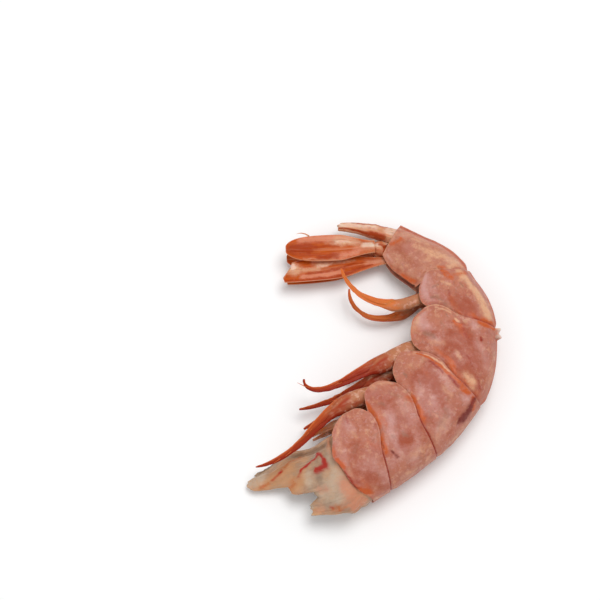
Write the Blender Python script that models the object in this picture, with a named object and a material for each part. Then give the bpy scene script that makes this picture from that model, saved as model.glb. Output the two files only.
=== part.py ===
"""A raw shrimp tail in its shell, head off, lying on its left side with the right flank up.

The body curls round a spine drawn in plan. Six shells overlap like roof tiles along it, each lying on
the flesh that runs through from the torn neck to the root of the tail fan. Five pairs of swimmerets
hang from the belly, and the fan is a spike with two blades each side on a knuckle.
Sizes are in millimetres and angles in degrees until a mesh is made.
"""
import math

import bmesh
import bpy
import numpy as np

MM = 0.001

# ---- Spine: where it lies in plan, from the front edge of the first shell to the root of the fan ----
SPINE_START = (-7.66, -25.30)
FRONT_HEADING = 23.0
SHELL_LENGTH = (10.5, 12.3, 14.4, 15.7, 13.5, 15.2)
JOINT_BEND = (17.0, 14.5, 29.0, 20.0, 47.0)
BEND_LENGTH = 13.0
NECK_REACH = 30.0
SPINE_STEP = 0.25
# Middle of the whole outline in plan, which becomes the origin.
PLAN_CENTRE = (-0.104, 1.179)

# ---- Body sizes, one value at each of the seven shell joints ----
HALF_WIDTH = (7.3, 7.8, 7.8, 7.4, 6.5, 5.4, 3.9)
BACK_RISE = (12.1, 10.5, 10.9, 11.2, 10.1, 5.9, 5.2)
BELLY_DROP = (7.6, 8.0, 7.8, 7.6, 6.8, 5.2, 3.6)
SKIRT_DROP = (10.8, 11.5, 11.0, 11.2, 10.8, 7.2, 4.8)
ROLL = (-4.0, -2.0, 0.0, 3.0, 6.0, 8.0, 8.0)
SUNK = 0.35

# ---- Shells ----
SHELL_THICKNESS = 0.42
GAP = 0.3
# A little more is left between flesh and shell, whose flat facets cut the curve short.
FLESH_GAP = 0.42
TUCK = SHELL_THICKNESS + GAP
OVERLAP = 2.6
RISE_LENGTH = 3.4
EDGE_LEAN = (-2.6, 3.4, 4.2, 3.9, 3.6, 3.4, 0.0)
LOBE_REACH = (-1.3, 1.6, 2.2, 2.4, 3.0, 1.8, 0.0)
# How far each shell's hem reaches below the common skirt, and how far the first front edge bows headwards.
SKIRT_SHARE = (1.0, 1.22, 1.18, 1.0, 0.88, 1.24)
FRONT_BULGE = 3.3
SKIRT_NOTCH = 0.30
# Share of that notch at each shell's front: the last one's front corner hangs full depth.
FRONT_NOTCH = (1.0, 1.0, 1.0, 1.0, 1.0, 0.35)
SKIRT_TAPER = 0.20
ARCH_SHARE = 0.5
KEEL = (0.0, 0.0, 0.0, 0.25, 0.35, 0.7)
SHELL_RINGS = (0.0, 0.14, 0.26, 0.42, 0.6, 0.78, 0.92, 1.0)
PROFILE_POINTS = 19

# ---- Flesh ----
FLESH_SIDES = 48
FLESH_RINGS = 24
NECK_RINGS = 8
# The flesh stops this far inside the last shell, where the spike and the knuckles go in.
TAIL_MOUTH = 3.6
BELLY_WAVE = 0.06
BELLY_WAVE_LENGTH = 13.0
# The tear, as (degrees round from the back by the right flank, how far it reaches past the first shell).
NECK_TEAR = (
    (0, 4.0), (18, 5.0), (25, 8.6), (36, 12.0), (54, 11.6), (59, 9.4), (71, 10.0), (76, 14.6), (89, 15.4),
    (93, 21.0), (98, 24.2), (107, 25.4), (120, 25.0), (127, 23.0), (146, 22.3), (160, 20.0), (180, 18.0),
    (200, 17.0), (225, 14.0), (250, 13.0), (270, 9.0), (290, 8.0), (320, 7.4), (340, 5.0), (360, 4.0),
)
NECK_FLATTENING = 0.62
NECK_DROOP = 4.2
NECK_BULGE = 1.7
NECK_TURN = 6.0
NECK_WIDENING = 0.10
NECK_SAG = 5.2
NECK_HOLLOW = ((0.74, -1.2), (0.52, -6.5), (0.22, -8.5))

# ---- Swimmerets ----
STEM_RADIUS = 1.25
STEM_BREADTH = 1.35
BLADE_SLIMMING = 0.45
LEG_GAP = 0.4
TIP_RADIUS = 0.22
BLADE_RADIUS = 0.95
LEG_ARCH = 1.3
LEG_SIDES = 8
LEG_RINGS = 11
SIDE_RINGS = 7
SIDE_BLADE_SHARE = 0.52
SIDE_OFFSET = 0.85
SIDE_LIFT = 0.4


def smooth(t):
    """0 below 0, 1 above 1 and a soft step between."""
    t = np.clip(t, 0.0, 1.0)
    return t * t * (3.0 - 2.0 * t)


JOINTS = np.concatenate([[0.0], np.cumsum(SHELL_LENGTH)])


def along(values, s):
    """A smooth curve through one value at each joint, level beyond the ends."""
    values = np.asarray(values, float)
    slopes = np.gradient(values, JOINTS)
    s = np.clip(np.asarray(s, float), JOINTS[0], JOINTS[-1])
    i = np.clip(np.searchsorted(JOINTS, s) - 1, 0, len(JOINTS) - 2)
    h = JOINTS[i + 1] - JOINTS[i]
    t = (s - JOINTS[i]) / h
    start = values[i] * (1 + 2 * t) * (1 - t) ** 2 + values[i + 1] * t * t * (3 - 2 * t)
    return start + h * (slopes[i] * t * (1 - t) ** 2 - slopes[i + 1] * t * t * (1 - t))


def heading(s):
    """Plan direction of the spine at s, in radians, pointing tailwards."""
    turned = FRONT_HEADING - NECK_TURN * smooth(-s / 12.0)
    for joint, bend in zip(JOINTS[1:-1], JOINT_BEND):
        turned = turned + bend * smooth((s - joint) / BEND_LENGTH + 0.5)
    return np.radians(turned)


def spine_samples():
    """Stations along the spine with their plan places, summed in small steps from the start."""
    stations = np.arange(-NECK_REACH, JOINTS[-1] + SPINE_STEP, SPINE_STEP)
    middle = heading(stations[:-1] + SPINE_STEP / 2)
    x = np.concatenate([[0.0], np.cumsum(np.cos(middle) * SPINE_STEP)])
    y = np.concatenate([[0.0], np.cumsum(np.sin(middle) * SPINE_STEP)])
    x += SPINE_START[0] - np.interp(0.0, stations, x)
    y += SPINE_START[1] - np.interp(0.0, stations, y)
    return stations, x, y


SPINE = spine_samples()


def centre_height(s):
    """Height of the spine over the floor: the rolled section rests on a small flat, and the neck droops."""
    roll = np.radians(along(ROLL, s))
    reach = np.hypot(along(HALF_WIDTH, s) * np.cos(roll), along(BACK_RISE, s) * np.sin(roll))
    return reach - SUNK - NECK_DROOP * smooth(-s / 25.0)


def place(s, rise, side, floor=0.0):
    """Points at station s, `rise` towards the back and `side` towards the right flank, above the floor."""
    s, rise, side = np.broadcast_arrays(s, rise, side)
    stations, x, y = SPINE
    turn = heading(s)
    roll = np.radians(along(ROLL, s))
    out = rise * np.cos(roll) - side * np.sin(roll)
    up = centre_height(s) + side * np.cos(roll) + rise * np.sin(roll)
    return np.stack([
        np.interp(s, stations, x) + out * np.sin(turn),
        np.interp(s, stations, y) - out * np.cos(turn),
        np.maximum(up, floor),
    ], axis=-1)


# ---- Meshes ----

def finish_mesh(name, points, faces, material):
    """One closed, outward-facing object from points in millimetres."""
    mesh = bpy.data.meshes.new(name)
    placed = (np.asarray(points) - (*PLAN_CENTRE, 0.0)) * MM
    mesh.from_pydata([tuple(p) for p in placed], [], faces)
    builder = bmesh.new()
    builder.from_mesh(mesh)
    bmesh.ops.recalc_face_normals(builder, faces=builder.faces[:])
    bmesh.ops.triangulate(builder, faces=builder.faces[:])
    builder.to_mesh(mesh)
    builder.free()
    mesh.shade_smooth()
    mesh.set_sharp_from_angle(angle=math.radians(40))
    mesh.materials.append(material)
    obj = bpy.data.objects.new(name, mesh)
    bpy.context.scene.collection.objects.link(obj)
    return obj


def ring_faces(rings, sides):
    """Quads between neighbouring closed rings."""
    faces = []
    for i in range(rings - 1):
        for j in range(sides):
            k = (j + 1) % sides
            faces.append((i * sides + j, i * sides + k, (i + 1) * sides + k, (i + 1) * sides + j))
    return faces


def skin(name, rings, material):
    """A closed tube through equal rings, with a fan of triangles on a middle point at each end."""
    rings = np.asarray(rings)
    count, sides = rings.shape[:2]
    points = np.concatenate([rings.reshape(-1, 3), rings[:1].mean(1), rings[-1:].mean(1)])
    faces = ring_faces(count, sides)
    first, last = count * sides, count * sides + 1
    end = (count - 1) * sides
    for j in range(sides):
        k = (j + 1) % sides
        faces.append((first, k, j))
        faces.append((last, end + j, end + k))
    return finish_mesh(name, points, faces, material)


def slab(name, outer, inner, material):
    """A closed curved plate between an outer and an inner grid of equal size."""
    outer, inner = np.asarray(outer), np.asarray(inner)
    count, width = outer.shape[:2]
    rings = np.concatenate([outer, inner[:, ::-1]], axis=1)
    sides = 2 * width
    faces = ring_faces(count, sides)
    end = (count - 1) * sides
    for j in range(width - 1):
        back = sides - 1 - j
        faces.append((j, j + 1, back - 1, back))
        faces.append((end + j, end + back, end + back - 1, end + j + 1))
    return finish_mesh(name, rings.reshape(-1, 3), faces, material)


# ---- Shells ----

def lobe(profile):
    """How far round the flank a joint's edge sweeps tailwards: none on the back, most above the hem."""
    return np.sin(math.pi * np.clip((np.abs(profile) - 0.42) / 0.80, 0.0, 1.0)) ** 1.2


def joint_edge(joint, profile):
    """Station of a joint's visible edge round the flank: it leans headwards over the back, with a lobe."""
    around = np.abs(profile)
    arch = np.clip(around / ARCH_SHARE, 0.0, 1.0) * math.pi / 2
    down = np.clip((around - ARCH_SHARE) / (1 - ARCH_SHARE), 0.0, 1.0)
    height = (1 + np.cos(arch) - down) / 2
    edge = JOINTS[joint] - EDGE_LEAN[joint] * height + LOBE_REACH[joint] * lobe(profile)
    if joint == 0:
        edge = edge - FRONT_BULGE * smooth((around - 0.08) / 0.32) * (1 - smooth((around - 0.55) / 0.45))
    return edge


def shell_section(s, profile, inset, drop, keel):
    """(rise, side) of a shell's section: an arch over the back, then a flank that leans in to its hem."""
    around = np.abs(profile)
    arch = np.clip(around / ARCH_SHARE, 0.0, 1.0) * math.pi / 2
    down = np.clip((around - ARCH_SHARE) / (1 - ARCH_SHARE), 0.0, 1.0)
    half = along(HALF_WIDTH, s)
    ridge = keel * np.exp(-(profile / 0.06) ** 2)
    rise = (along(BACK_RISE, s) - inset) * np.cos(arch) + ridge - drop * down
    lean_in = SKIRT_TAPER * (drop * down / along(SKIRT_DROP, s)) ** 2
    side = (half * (1 - lean_in) - inset) * np.where(around < ARCH_SHARE, np.sin(arch), 1.0)
    return rise, side * np.sign(profile)


def add_shell(number, material):
    """Shell `number`, from 0 at the neck: its front is tucked under the shell before it."""
    profile = np.linspace(-1.0, 1.0, PROFILE_POINTS)
    tucked = OVERLAP if number else 0.0
    front = joint_edge(number, profile) - tucked
    rear = joint_edge(number + 1, profile)
    share = np.asarray(SHELL_RINGS)[:, None]
    s = front + (rear - front) * share
    seen = s - joint_edge(number, profile)
    span = rear - joint_edge(number, profile)
    rise_share = smooth((seen - GAP) / RISE_LENGTH) if number else 1.0
    inset = TUCK * (1 - rise_share)
    cut = SKIRT_NOTCH * np.where(seen < span / 2, FRONT_NOTCH[number], 1.0)
    notch = 1 - cut * np.minimum(np.abs(2 * seen / span - 1), 1.1) ** 2.6
    hem = along(SKIRT_DROP, s) * SKIRT_SHARE[number] * notch
    keel = KEEL[number] * rise_share
    grids = []
    for depth in (inset, inset + SHELL_THICKNESS):
        rise, side = shell_section(s, profile, depth, hem, keel)
        grids.append(place(s, rise, side, floor=depth))
    return slab(f"shell_{number + 1}", grids[0], grids[1], material)


# ---- Flesh ----

FLESH_INSET = TUCK + SHELL_THICKNESS + FLESH_GAP


def neck_reach(angle):
    """How far the torn flesh reaches past the first shell, from the back round by the right flank."""
    turns, reaches = np.asarray(NECK_TEAR).T
    return np.interp(angle, np.radians(turns), reaches)


def flesh_section(s, angle, scale=1.0):
    """(rise, side) of the flesh: rounder over the back, boxier over the belly, thin at the torn end."""
    front_edge = joint_edge(0, 1 - np.abs(1 - angle / math.pi))
    covered = smooth((s - front_edge) / 2.4 + 1.4)
    inset = FLESH_INSET * covered + 0.5 * (1 - covered)
    ahead = smooth(-s / 22.0)
    up = along(BACK_RISE, s) - inset + NECK_BULGE * smooth(-s / 3.0)
    waves = 1 + BELLY_WAVE * np.cos(2 * math.pi * s / BELLY_WAVE_LENGTH)
    down = along(BELLY_DROP, s) * waves * (1 + NECK_WIDENING * smooth(-s / 9.0))
    wide = (along(HALF_WIDTH, s) - inset) * (1 - NECK_FLATTENING * ahead)
    cos, sin = np.cos(angle), np.sin(angle)
    square = np.where(cos < 0, 0.72, 1.0)
    rise = np.where(cos < 0, -down, up) * np.abs(cos) ** square * scale
    sag = NECK_SAG * smooth(-s / 10.0) * (1 - cos) / 2
    side = wide * np.sign(sin) * np.abs(sin) ** square * scale - sag
    return rise, side


def add_flesh(material):
    """One solid from the ragged neck, hollowed where the head came away, to the root of the fan."""
    angle = np.arange(FLESH_SIDES) * 2 * math.pi / FLESH_SIDES
    reach = neck_reach(angle)
    rings = []
    for share, depth in reversed(NECK_HOLLOW):
        s = -reach * (0.35 + 0.65 * share) - depth
        rings.append(place(s, *flesh_section(s, angle, share), floor=TUCK))
    for share in np.linspace(1.0, 0.0, NECK_RINGS):
        s = -reach * share + 3.0 * (1 - share)
        taper = 1 - 0.16 * share ** 3
        rings.append(place(s, *flesh_section(s, angle, taper), floor=TUCK))
    rear = JOINTS[-1] - TAIL_MOUTH
    for share in np.linspace(0.0, 1.0, FLESH_RINGS)[1:]:
        s = np.full(FLESH_SIDES, 3.0 + (rear - 3.0) * share)
        rings.append(place(s, *flesh_section(s, angle), floor=FLESH_INSET))
    rings.append(place(rear + 0.9, *flesh_section(rear, angle, 0.7), floor=FLESH_INSET))
    return skin("flesh", rings, material)


# ---- Limbs and fan: flattened tubes along a plan path ----

def path_points(start, turn_start, turn, onset, length, end_height, count, lift=0.0, sway=0.0):
    """A path of given length whose heading turns, later for a high `onset`, and sways aside in mid length."""
    share = np.linspace(0.0, 1.0, count)
    middle = (share[:-1] + share[1:]) / 2
    angle = np.radians(turn_start + turn * middle ** onset + sway * np.sin(math.pi * middle))
    step = length / (count - 1)
    x = start[0] + np.concatenate([[0.0], np.cumsum(np.cos(angle) * step)])
    y = start[1] + np.concatenate([[0.0], np.cumsum(np.sin(angle) * step)])
    z = start[2] + (end_height - start[2]) * smooth(share) + lift * np.sin(math.pi * share)
    return np.stack([x, y, z], axis=1)


def tube_rings(path, width, depth, lean=0.0, sides=LEG_SIDES):
    """Elliptical rings along a path, `width` half-wide and `depth` half-deep, leaned about the path."""
    path = np.asarray(path)
    ahead = np.gradient(path, axis=0)
    ahead /= np.linalg.norm(ahead, axis=1)[:, None]
    across = np.cross([0.0, 0.0, 1.0], ahead)
    across /= np.linalg.norm(across, axis=1)[:, None]
    above = np.cross(ahead, across)
    lean = np.radians(np.broadcast_to(lean, len(path)))[:, None]
    wide_way = across * np.cos(lean) + above * np.sin(lean)
    deep_way = above * np.cos(lean) - across * np.sin(lean)
    angle = np.arange(sides) * 2 * math.pi / sides
    width = np.broadcast_to(width, len(path))[:, None, None]
    depth = np.broadcast_to(depth, len(path))[:, None, None]
    wide = wide_way[:, None] * np.cos(angle)[None, :, None] * width
    deep = deep_way[:, None] * np.sin(angle)[None, :, None] * depth
    return path[:, None] + wide + deep


# Each limb: place along the shells, lateral place as a share of the half width, plan heading, turn and
# the turn's onset, sway to one side in mid length, lengths of stem and blade, height of the tip, girth.
RIGHT_LEGS = (
    (0.55, -0.04, 199.0, 2.0, 1.0, 0.0, 4.0, 7.0, 5.2, 0.65),
    (1.62, 0.40, 179.0, 10.0, 0.5, 38.0, 10.0, 27.0, 7.6, 1.2),
    (2.75, 0.02, 208.0, -23.0, 3.0, 0.0, 10.0, 20.8, 4.8, 1.12),
    (3.3, 0.45, 213.6, -135.7, 8.5, -6.8, 10.0, 22.7, 10.6, 1.28),
    (4.48, 0.45, 213.0, -110.0, 1.05, 0.0, 7.0, 18.5, 9.8, 0.85),
)
LEFT_LEGS = (
    (0.50, -0.55, 204.0, -2.0, 2.0, 0.0, 4.0, 6.0, 2.7, 0.55),
    (1.55, -0.38, 186.0, 22.0, 0.7, 0.0, 8.0, 12.0, 3.2, 0.9),
    (2.60, -0.44, 208.0, -6.0, 3.0, 0.0, 8.0, 13.0, 2.5, 1.0),
    (3.50, -0.45, 222.0, 0.0, 2.0, -20.0, 8.0, 13.0, 2.0, 1.0),
    (4.56, -0.45, 229.0, -147.0, 1.5, 0.0, 7.0, 19.0, 4.0, 0.7),
)


def beside(path, start, end, offset, count):
    """A path to the right of another, between two of its shares, that closes in on it towards its tip."""
    onward = np.linspace(0.0, 1.0, count)
    whole = np.linspace(0.0, 1.0, len(path))
    near = np.stack([np.interp(start + (end - start) * onward, whole, path[:, k]) for k in range(3)], axis=1)
    ahead = np.gradient(near, axis=0)
    across = np.stack([ahead[:, 1], -ahead[:, 0], 0 * onward], axis=1)
    across /= np.linalg.norm(across, axis=1)[:, None]
    return near + across * (offset * (1 - 0.6 * onward))[:, None] + (0.0, 0.0, SIDE_LIFT)


def add_leg(name, leg, material):
    """A broad stem under the belly that runs on into a curved blade, with a shorter blade fused beside it."""
    onward, side, start_heading, turn, onset, sway, stem, blade, far_height, girth = leg
    s = float(np.interp(onward, np.arange(len(JOINTS)), JOINTS))
    drop = along(BELLY_DROP, s) * 1.06 + LEG_GAP + girth * STEM_RADIUS * STEM_BREADTH
    root = place(s, -drop, side * along(HALF_WIDTH, s))
    length = stem + blade
    path = path_points(root, start_heading, turn, onset, length, far_height, LEG_RINGS, LEG_ARCH, sway)
    share = np.linspace(0.0, 1.0, LEG_RINGS)
    stem_share = stem / length
    past = np.clip((share - stem_share) / (1 - stem_share), 0.0, 1.0)
    rounded = np.sqrt(np.clip(share / 0.05, 0.25, 1.0))
    slim = (1 - BLADE_SLIMMING * smooth(past * 5)) * (1 - past) ** 0.6
    width = girth * STEM_RADIUS * STEM_BREADTH * slim * rounded + TIP_RADIUS
    depth = width / STEM_BREADTH * (1 - 0.3 * smooth(past * 4))
    main = skin(name, tube_rings(path, width, depth), material)
    side_end = stem_share + SIDE_BLADE_SHARE * (1 - stem_share)
    side_path = beside(path, stem_share * 0.85, side_end, SIDE_OFFSET * girth, SIDE_RINGS)
    side_share = np.linspace(0.0, 1.0, SIDE_RINGS)
    side_slim = np.sqrt(np.clip(side_share / 0.15, 0.2, 1.0)) * (1 - side_share) ** 0.6
    side_width = girth * BLADE_RADIUS * side_slim + TIP_RADIUS
    branch = skin(name + "_branch", tube_rings(side_path, side_width, side_width * 0.55), material)
    branch.hide_render = True
    branch.display_type = "WIRE"
    union = main.modifiers.new("fuse", "BOOLEAN")
    union.operation = "UNION"
    union.solver = "EXACT"
    union.object = branch
    return main


# Each piece of the fan: plan place and height of its root, heading, turn, length, half width, half depth,
# lean, height of the tip, slant of the tip.
BLADES = {
    "telson": (7.3, 36.66, 4.2, 159.0, 21.0, 16.6, 2.25, 2.0, 0.0, 5.4, 0.0),
    "fan_right_inner": (-0.1, 33.45, 7.1, 182.0, 0.0, 23.0, 3.2, 0.42, -6.0, 7.2, 0.0),
    "fan_right_outer": (3.3, 30.3, 4.7, 188.1, 0.0, 26.3, 3.3, 0.42, 6.0, 5.4, 0.43),
    "fan_left_inner": (-0.1, 33.3, 2.5, 184.0, 0.0, 22.8, 3.1, 0.40, 0.0, 2.2, 0.0),
    "fan_left_outer": (1.2, 31.0, 1.0, 188.0, 0.0, 23.4, 3.3, 0.40, 0.0, 0.6, 0.43),
}
BLADE_RINGS = 12
BLADE_SIDES = 10


def blade_outline(share):
    """Half width of a fan blade along its length: a narrow root, widest past the middle, a rounded tip."""
    root = 0.45 + 0.55 * smooth(share / 0.4)
    tip = np.sqrt(1 - np.clip((share - 0.55) / 0.455, 0.0, 0.995) ** 2.6)
    return root * tip


def add_blade(name, size, material):
    """The spike, or one of the fan's four blades, of which the outer two are cut off askew at the tip."""
    x, y, height, start_heading, turn, length, half_width, half_depth, lean, far_height, slant = size
    path = path_points((x, y, height), start_heading, turn, 1.0, length, far_height, BLADE_RINGS)
    share = np.linspace(0.0, 1.0, BLADE_RINGS)
    if name == "telson":
        width = half_width * (1 - 0.58 * share ** 1.3)
        depth = half_depth * (1 - 0.66 * share ** 1.1)
    elif slant:
        width = half_width * (0.32 + 0.68 * smooth(share / 0.5)) * (1 - 0.22 * share ** 6)
        depth = half_depth * (1 - 0.35 * share)
    else:
        width = half_width * blade_outline(share) + 0.25
        depth = half_depth * (1 - 0.35 * share)
    rings = tube_rings(path, width, depth, lean, BLADE_SIDES)
    angle = np.arange(BLADE_SIDES) * 2 * math.pi / BLADE_SIDES
    shift = slant * half_width * np.cos(angle)[None, :] * (share ** 3)[:, None]
    last = math.radians(start_heading + turn)
    rings = rings + shift[..., None] * np.array([math.cos(last), math.sin(last), 0.0])
    return skin(name, rings, material)


# Each knuckle: plan place and height of its root inside the last shell, and the height of its far end.
KNUCKLES = {
    "knuckle_right": (5.2, 33.45, 4.5, 6.0),
    "knuckle_left": (5.4, 33.4, 1.9, 2.8),
}
KNUCKLE_HEADING = 172.0
KNUCKLE_TURN = 14.0
KNUCKLE_LENGTH = 4.9
KNUCKLE_HALF_SIZE = (1.95, 1.15)


def add_knuckle(name, size, material):
    """The stout joint that carries the two blades of one side."""
    x, y, height, far_height = size
    path = path_points((x, y, height), KNUCKLE_HEADING, KNUCKLE_TURN, 1.0, KNUCKLE_LENGTH, far_height, 11)
    share = np.linspace(-1.0, 1.0, 11)
    swell = (1 - (np.abs(share) * 0.97) ** 3.0) ** 0.5
    half_width, half_depth = KNUCKLE_HALF_SIZE
    return skin(name, tube_rings(path, half_width * swell, half_depth * swell, 0.0, 12), material)


# ---- Colours and assembly ----

def make_material(name, colour, roughness):
    material = bpy.data.materials.new(name)
    material.use_nodes = True
    shader = material.node_tree.nodes["Principled BSDF"]
    shader.inputs["Base Color"].default_value = (*colour, 1.0)
    shader.inputs["Roughness"].default_value = roughness
    shader.inputs["Metallic"].default_value = 0.0
    return material


def clear_scene():
    for obj in list(bpy.data.objects):
        bpy.data.objects.remove(obj, do_unlink=True)


def main():
    clear_scene()
    shell = make_material("shell", (0.68, 0.32, 0.26), 0.35)
    flesh = make_material("flesh", (0.74, 0.60, 0.48), 0.4)
    fan = make_material("fan", (0.75, 0.27, 0.10), 0.4)
    limb = make_material("limb", (0.72, 0.25, 0.11), 0.4)
    for number in range(len(SHELL_LENGTH)):
        add_shell(number, shell)
    add_flesh(flesh)
    for name, size in BLADES.items():
        add_blade(name, size, fan)
    for name, size in KNUCKLES.items():
        add_knuckle(name, size, fan)
    for legs, side in ((RIGHT_LEGS, "right"), (LEFT_LEGS, "left")):
        for leg in legs:
            add_leg(f"swimmeret_{side}_{int(leg[0]) + 1}", leg, limb)


if __name__ == "__main__":
    main()
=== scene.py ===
"""Looks of a raw shrimp tail in its shell: plates, torn neck, swimmerets and tail fan.

Sizes inside the makers are millimetres and are turned to metres when a mesh is written.
"""

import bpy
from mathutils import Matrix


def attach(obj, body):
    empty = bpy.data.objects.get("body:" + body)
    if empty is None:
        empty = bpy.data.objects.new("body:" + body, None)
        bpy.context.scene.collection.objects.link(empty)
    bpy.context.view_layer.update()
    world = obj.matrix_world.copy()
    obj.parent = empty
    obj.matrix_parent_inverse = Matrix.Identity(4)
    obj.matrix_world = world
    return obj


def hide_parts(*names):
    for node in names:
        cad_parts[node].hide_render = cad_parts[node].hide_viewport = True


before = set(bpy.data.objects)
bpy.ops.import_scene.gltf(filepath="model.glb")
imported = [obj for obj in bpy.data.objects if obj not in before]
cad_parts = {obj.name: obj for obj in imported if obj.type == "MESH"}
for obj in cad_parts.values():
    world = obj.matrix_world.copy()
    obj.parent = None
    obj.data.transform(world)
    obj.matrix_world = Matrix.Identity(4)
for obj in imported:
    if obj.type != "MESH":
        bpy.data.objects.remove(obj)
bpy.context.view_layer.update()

import math

import bpy
import numpy as np
from bpy.props import FloatProperty, FloatVectorProperty, PointerProperty
from mathutils import Vector

bl_info = {
    "name": "Raw shell-on shrimp tail",
    "version": (1, 0, 0),
    "blender": (4, 5, 0),
    "location": "3D View > Sidebar > Shrimp",
    "description": "Builds the visible plates, flesh, swimmerets and tail fan of a raw shrimp tail",
    "category": "Object",
}

MM = 0.001

# ---- Body, as in the part's source: spine in plan, then one value at each of the seven shell joints ----
SPINE_START = (-7.66, -25.30)
FRONT_HEADING = 23.0
SHELL_LENGTH = (10.5, 12.3, 14.4, 15.7, 13.5, 15.2)
JOINT_BEND = (17.0, 14.5, 29.0, 20.0, 47.0)
BEND_LENGTH = 13.0
NECK_REACH = 30.0
SPINE_STEP = 0.05
PLAN_CENTRE = (-0.104, 1.179)
HALF_WIDTH = (7.3, 7.8, 7.8, 7.4, 6.5, 5.4, 3.9)
BACK_RISE = (12.1, 10.5, 10.9, 11.2, 10.1, 5.9, 5.2)
BELLY_DROP = (7.6, 8.0, 7.8, 7.6, 6.8, 5.2, 3.6)
SKIRT_DROP = (10.8, 11.5, 11.0, 11.2, 10.8, 7.2, 4.8)
ROLL = (-4.0, -2.0, 0.0, 3.0, 6.0, 8.0, 8.0)
SUNK = 0.35

# ---- Shells ----
OVERLAP = 2.6
EDGE_LEAN = (-2.6, 3.4, 4.2, 3.9, 3.6, 3.4, 0.0)
LOBE_REACH = (-1.3, 1.6, 2.2, 2.4, 3.0, 1.8, 0.0)
SKIRT_SHARE = (1.0, 1.22, 1.18, 1.0, 0.88, 1.24)
FRONT_BULGE = 3.3
SKIRT_NOTCH = 0.30
FRONT_NOTCH = (1.0, 1.0, 1.0, 1.0, 1.0, 0.35)
SKIRT_TAPER = 0.20
ARCH_SHARE = 0.5
KEEL = (0.0, 0.0, 0.0, 0.25, 0.35, 0.7)
SHELL_ROWS = 88
LEFT_COLUMNS = 72
RIGHT_COLUMNS = 156
# Lumps of the plates: height, size and the shift that makes each layer differ.
SHELL_LUMPS = ((0.15, 6.5, 0), (0.06, 2.4, 40), (0.02, 0.9, 80))
HINGE_HEIGHT = 0.28
# The white flake at the rear rim of one plate, counted from 0: its middle and half width as shares round the
# flank, its length and how far it stands off.
CHIPPED_PLATE = 3
CHIP_MIDDLE = 0.03
CHIP_HALF_WIDTH = 0.045
CHIP_LENGTH = 2.3
CHIP_HEIGHT = 1.15

# ---- Flesh ----
FLESH_INSET = 1.56
FLESH_SIDES = 288
HOLLOW_ROWS = 36
NECK_ROWS = 120
BODY_ROWS = 109
# Station where the neck's rows end and the body's begin, and the least height of the bare flesh.
NECK_END = 3.0
NECK_FLOOR = 0.06
# Ragged edge, fibres and lumps of the flesh: height, size and the shift that makes each layer differ.
NECK_RAGS = ((0.40, 0.9, 0), (0.22, 0.35, 30))
FLESH_FIBRES = ((1.0, (1.0, 0.7, 0.7), 0), (0.6, (1.0, 0.33, 0.33), 17))
FLESH_LUMPS = ((1.0, 4.5, 0), (0.6, 1.8, 60), (0.2, 0.7, 90))
TAIL_MOUTH = 3.6
BELLY_WAVE = 0.06
BELLY_WAVE_LENGTH = 13.0
NECK_TEAR = (
    (0, 4.0), (18, 5.0), (25, 8.6), (36, 12.0), (54, 11.6), (59, 9.4), (71, 10.0), (76, 14.6), (89, 15.4),
    (93, 21.0), (98, 24.2), (107, 25.4), (120, 25.0), (127, 23.0), (146, 22.3), (160, 20.0), (180, 18.0),
    (200, 17.0), (225, 14.0), (250, 13.0), (270, 9.0), (290, 8.0), (320, 7.4), (340, 5.0), (360, 4.0),
)
NECK_FLATTENING = 0.62
NECK_DROOP = 4.2
NECK_BULGE = 1.7
NECK_TURN = 6.0
NECK_WIDENING = 0.10
NECK_SAG = 5.2
# Inside the neck, from its floor to the lip: share of the section, and how far it lies behind the lip.
NECK_HOLLOW = ((0.03, 9.2), (0.22, 8.5), (0.52, 6.5), (0.74, 1.2), (1.0, 0.0))

# ---- Swimmerets ----
STEM_RADIUS = 1.25
STEM_BREADTH = 1.35
BLADE_SLIMMING = 0.45
TIP_RADIUS = 0.22
BLADE_RADIUS = 0.95
LEG_ARCH = 1.3
LEG_GAP = 0.4
SIDE_BLADE_SHARE = 0.52
SIDE_OFFSET = 0.85
SIDE_LIFT = 0.4
LIMB_ROWS = 110
LIMB_SIDES = 28
# Rows of the bend from the belly into a limb, and the row of the limb's path where it joins.
ROOT_ROWS = 13
ROOT_JOIN = 8
SIDE_BLADE_ROWS = 60
BRISTLES = 4
BRISTLE_ROWS = 9
BRISTLE_SIDES = 6
BRISTLE_RADIUS = 0.10
# Tubes stay this far above the floor.
FLOOR_GAP = 0.05
# Each: place along the shells, lateral place, heading, turn and its onset, sway, lengths of stem and blade,
# height of the tip, girth.
RIGHT_LEGS = (
    (0.55, -0.04, 199.0, 2.0, 1.0, 0.0, 4.0, 7.0, 5.2, 0.65),
    (1.62, 0.40, 179.0, 10.0, 0.5, 38.0, 10.0, 27.0, 7.6, 1.2),
    (2.75, 0.02, 208.0, -23.0, 3.0, 0.0, 10.0, 20.8, 4.8, 1.12),
    (3.3, 0.45, 213.6, -135.7, 8.5, -6.8, 10.0, 22.7, 10.6, 1.28),
    (4.48, 0.45, 213.0, -110.0, 1.05, 0.0, 7.0, 18.5, 9.8, 0.85),
)
LEFT_LEGS = (
    (0.50, -0.55, 204.0, -2.0, 2.0, 0.0, 4.0, 6.0, 2.7, 0.55),
    (1.55, -0.38, 186.0, 22.0, 0.7, 0.0, 8.0, 12.0, 3.2, 0.9),
    (2.60, -0.44, 208.0, -6.0, 3.0, 0.0, 8.0, 13.0, 2.5, 1.0),
    (3.50, -0.45, 222.0, 0.0, 2.0, -20.0, 8.0, 13.0, 2.0, 1.0),
    (4.56, -0.45, 229.0, -147.0, 1.5, 0.0, 7.0, 19.0, 4.0, 0.7),
)
# How red each limb's blade is, from light orange at 0 to deep red at 1.
LIMB_REDNESS = {"right": (0.0, 0.7, 0.95, 0.9, 0.0), "left": (0.4, 0.7, 0.9, 0.9, 0.25)}
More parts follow.
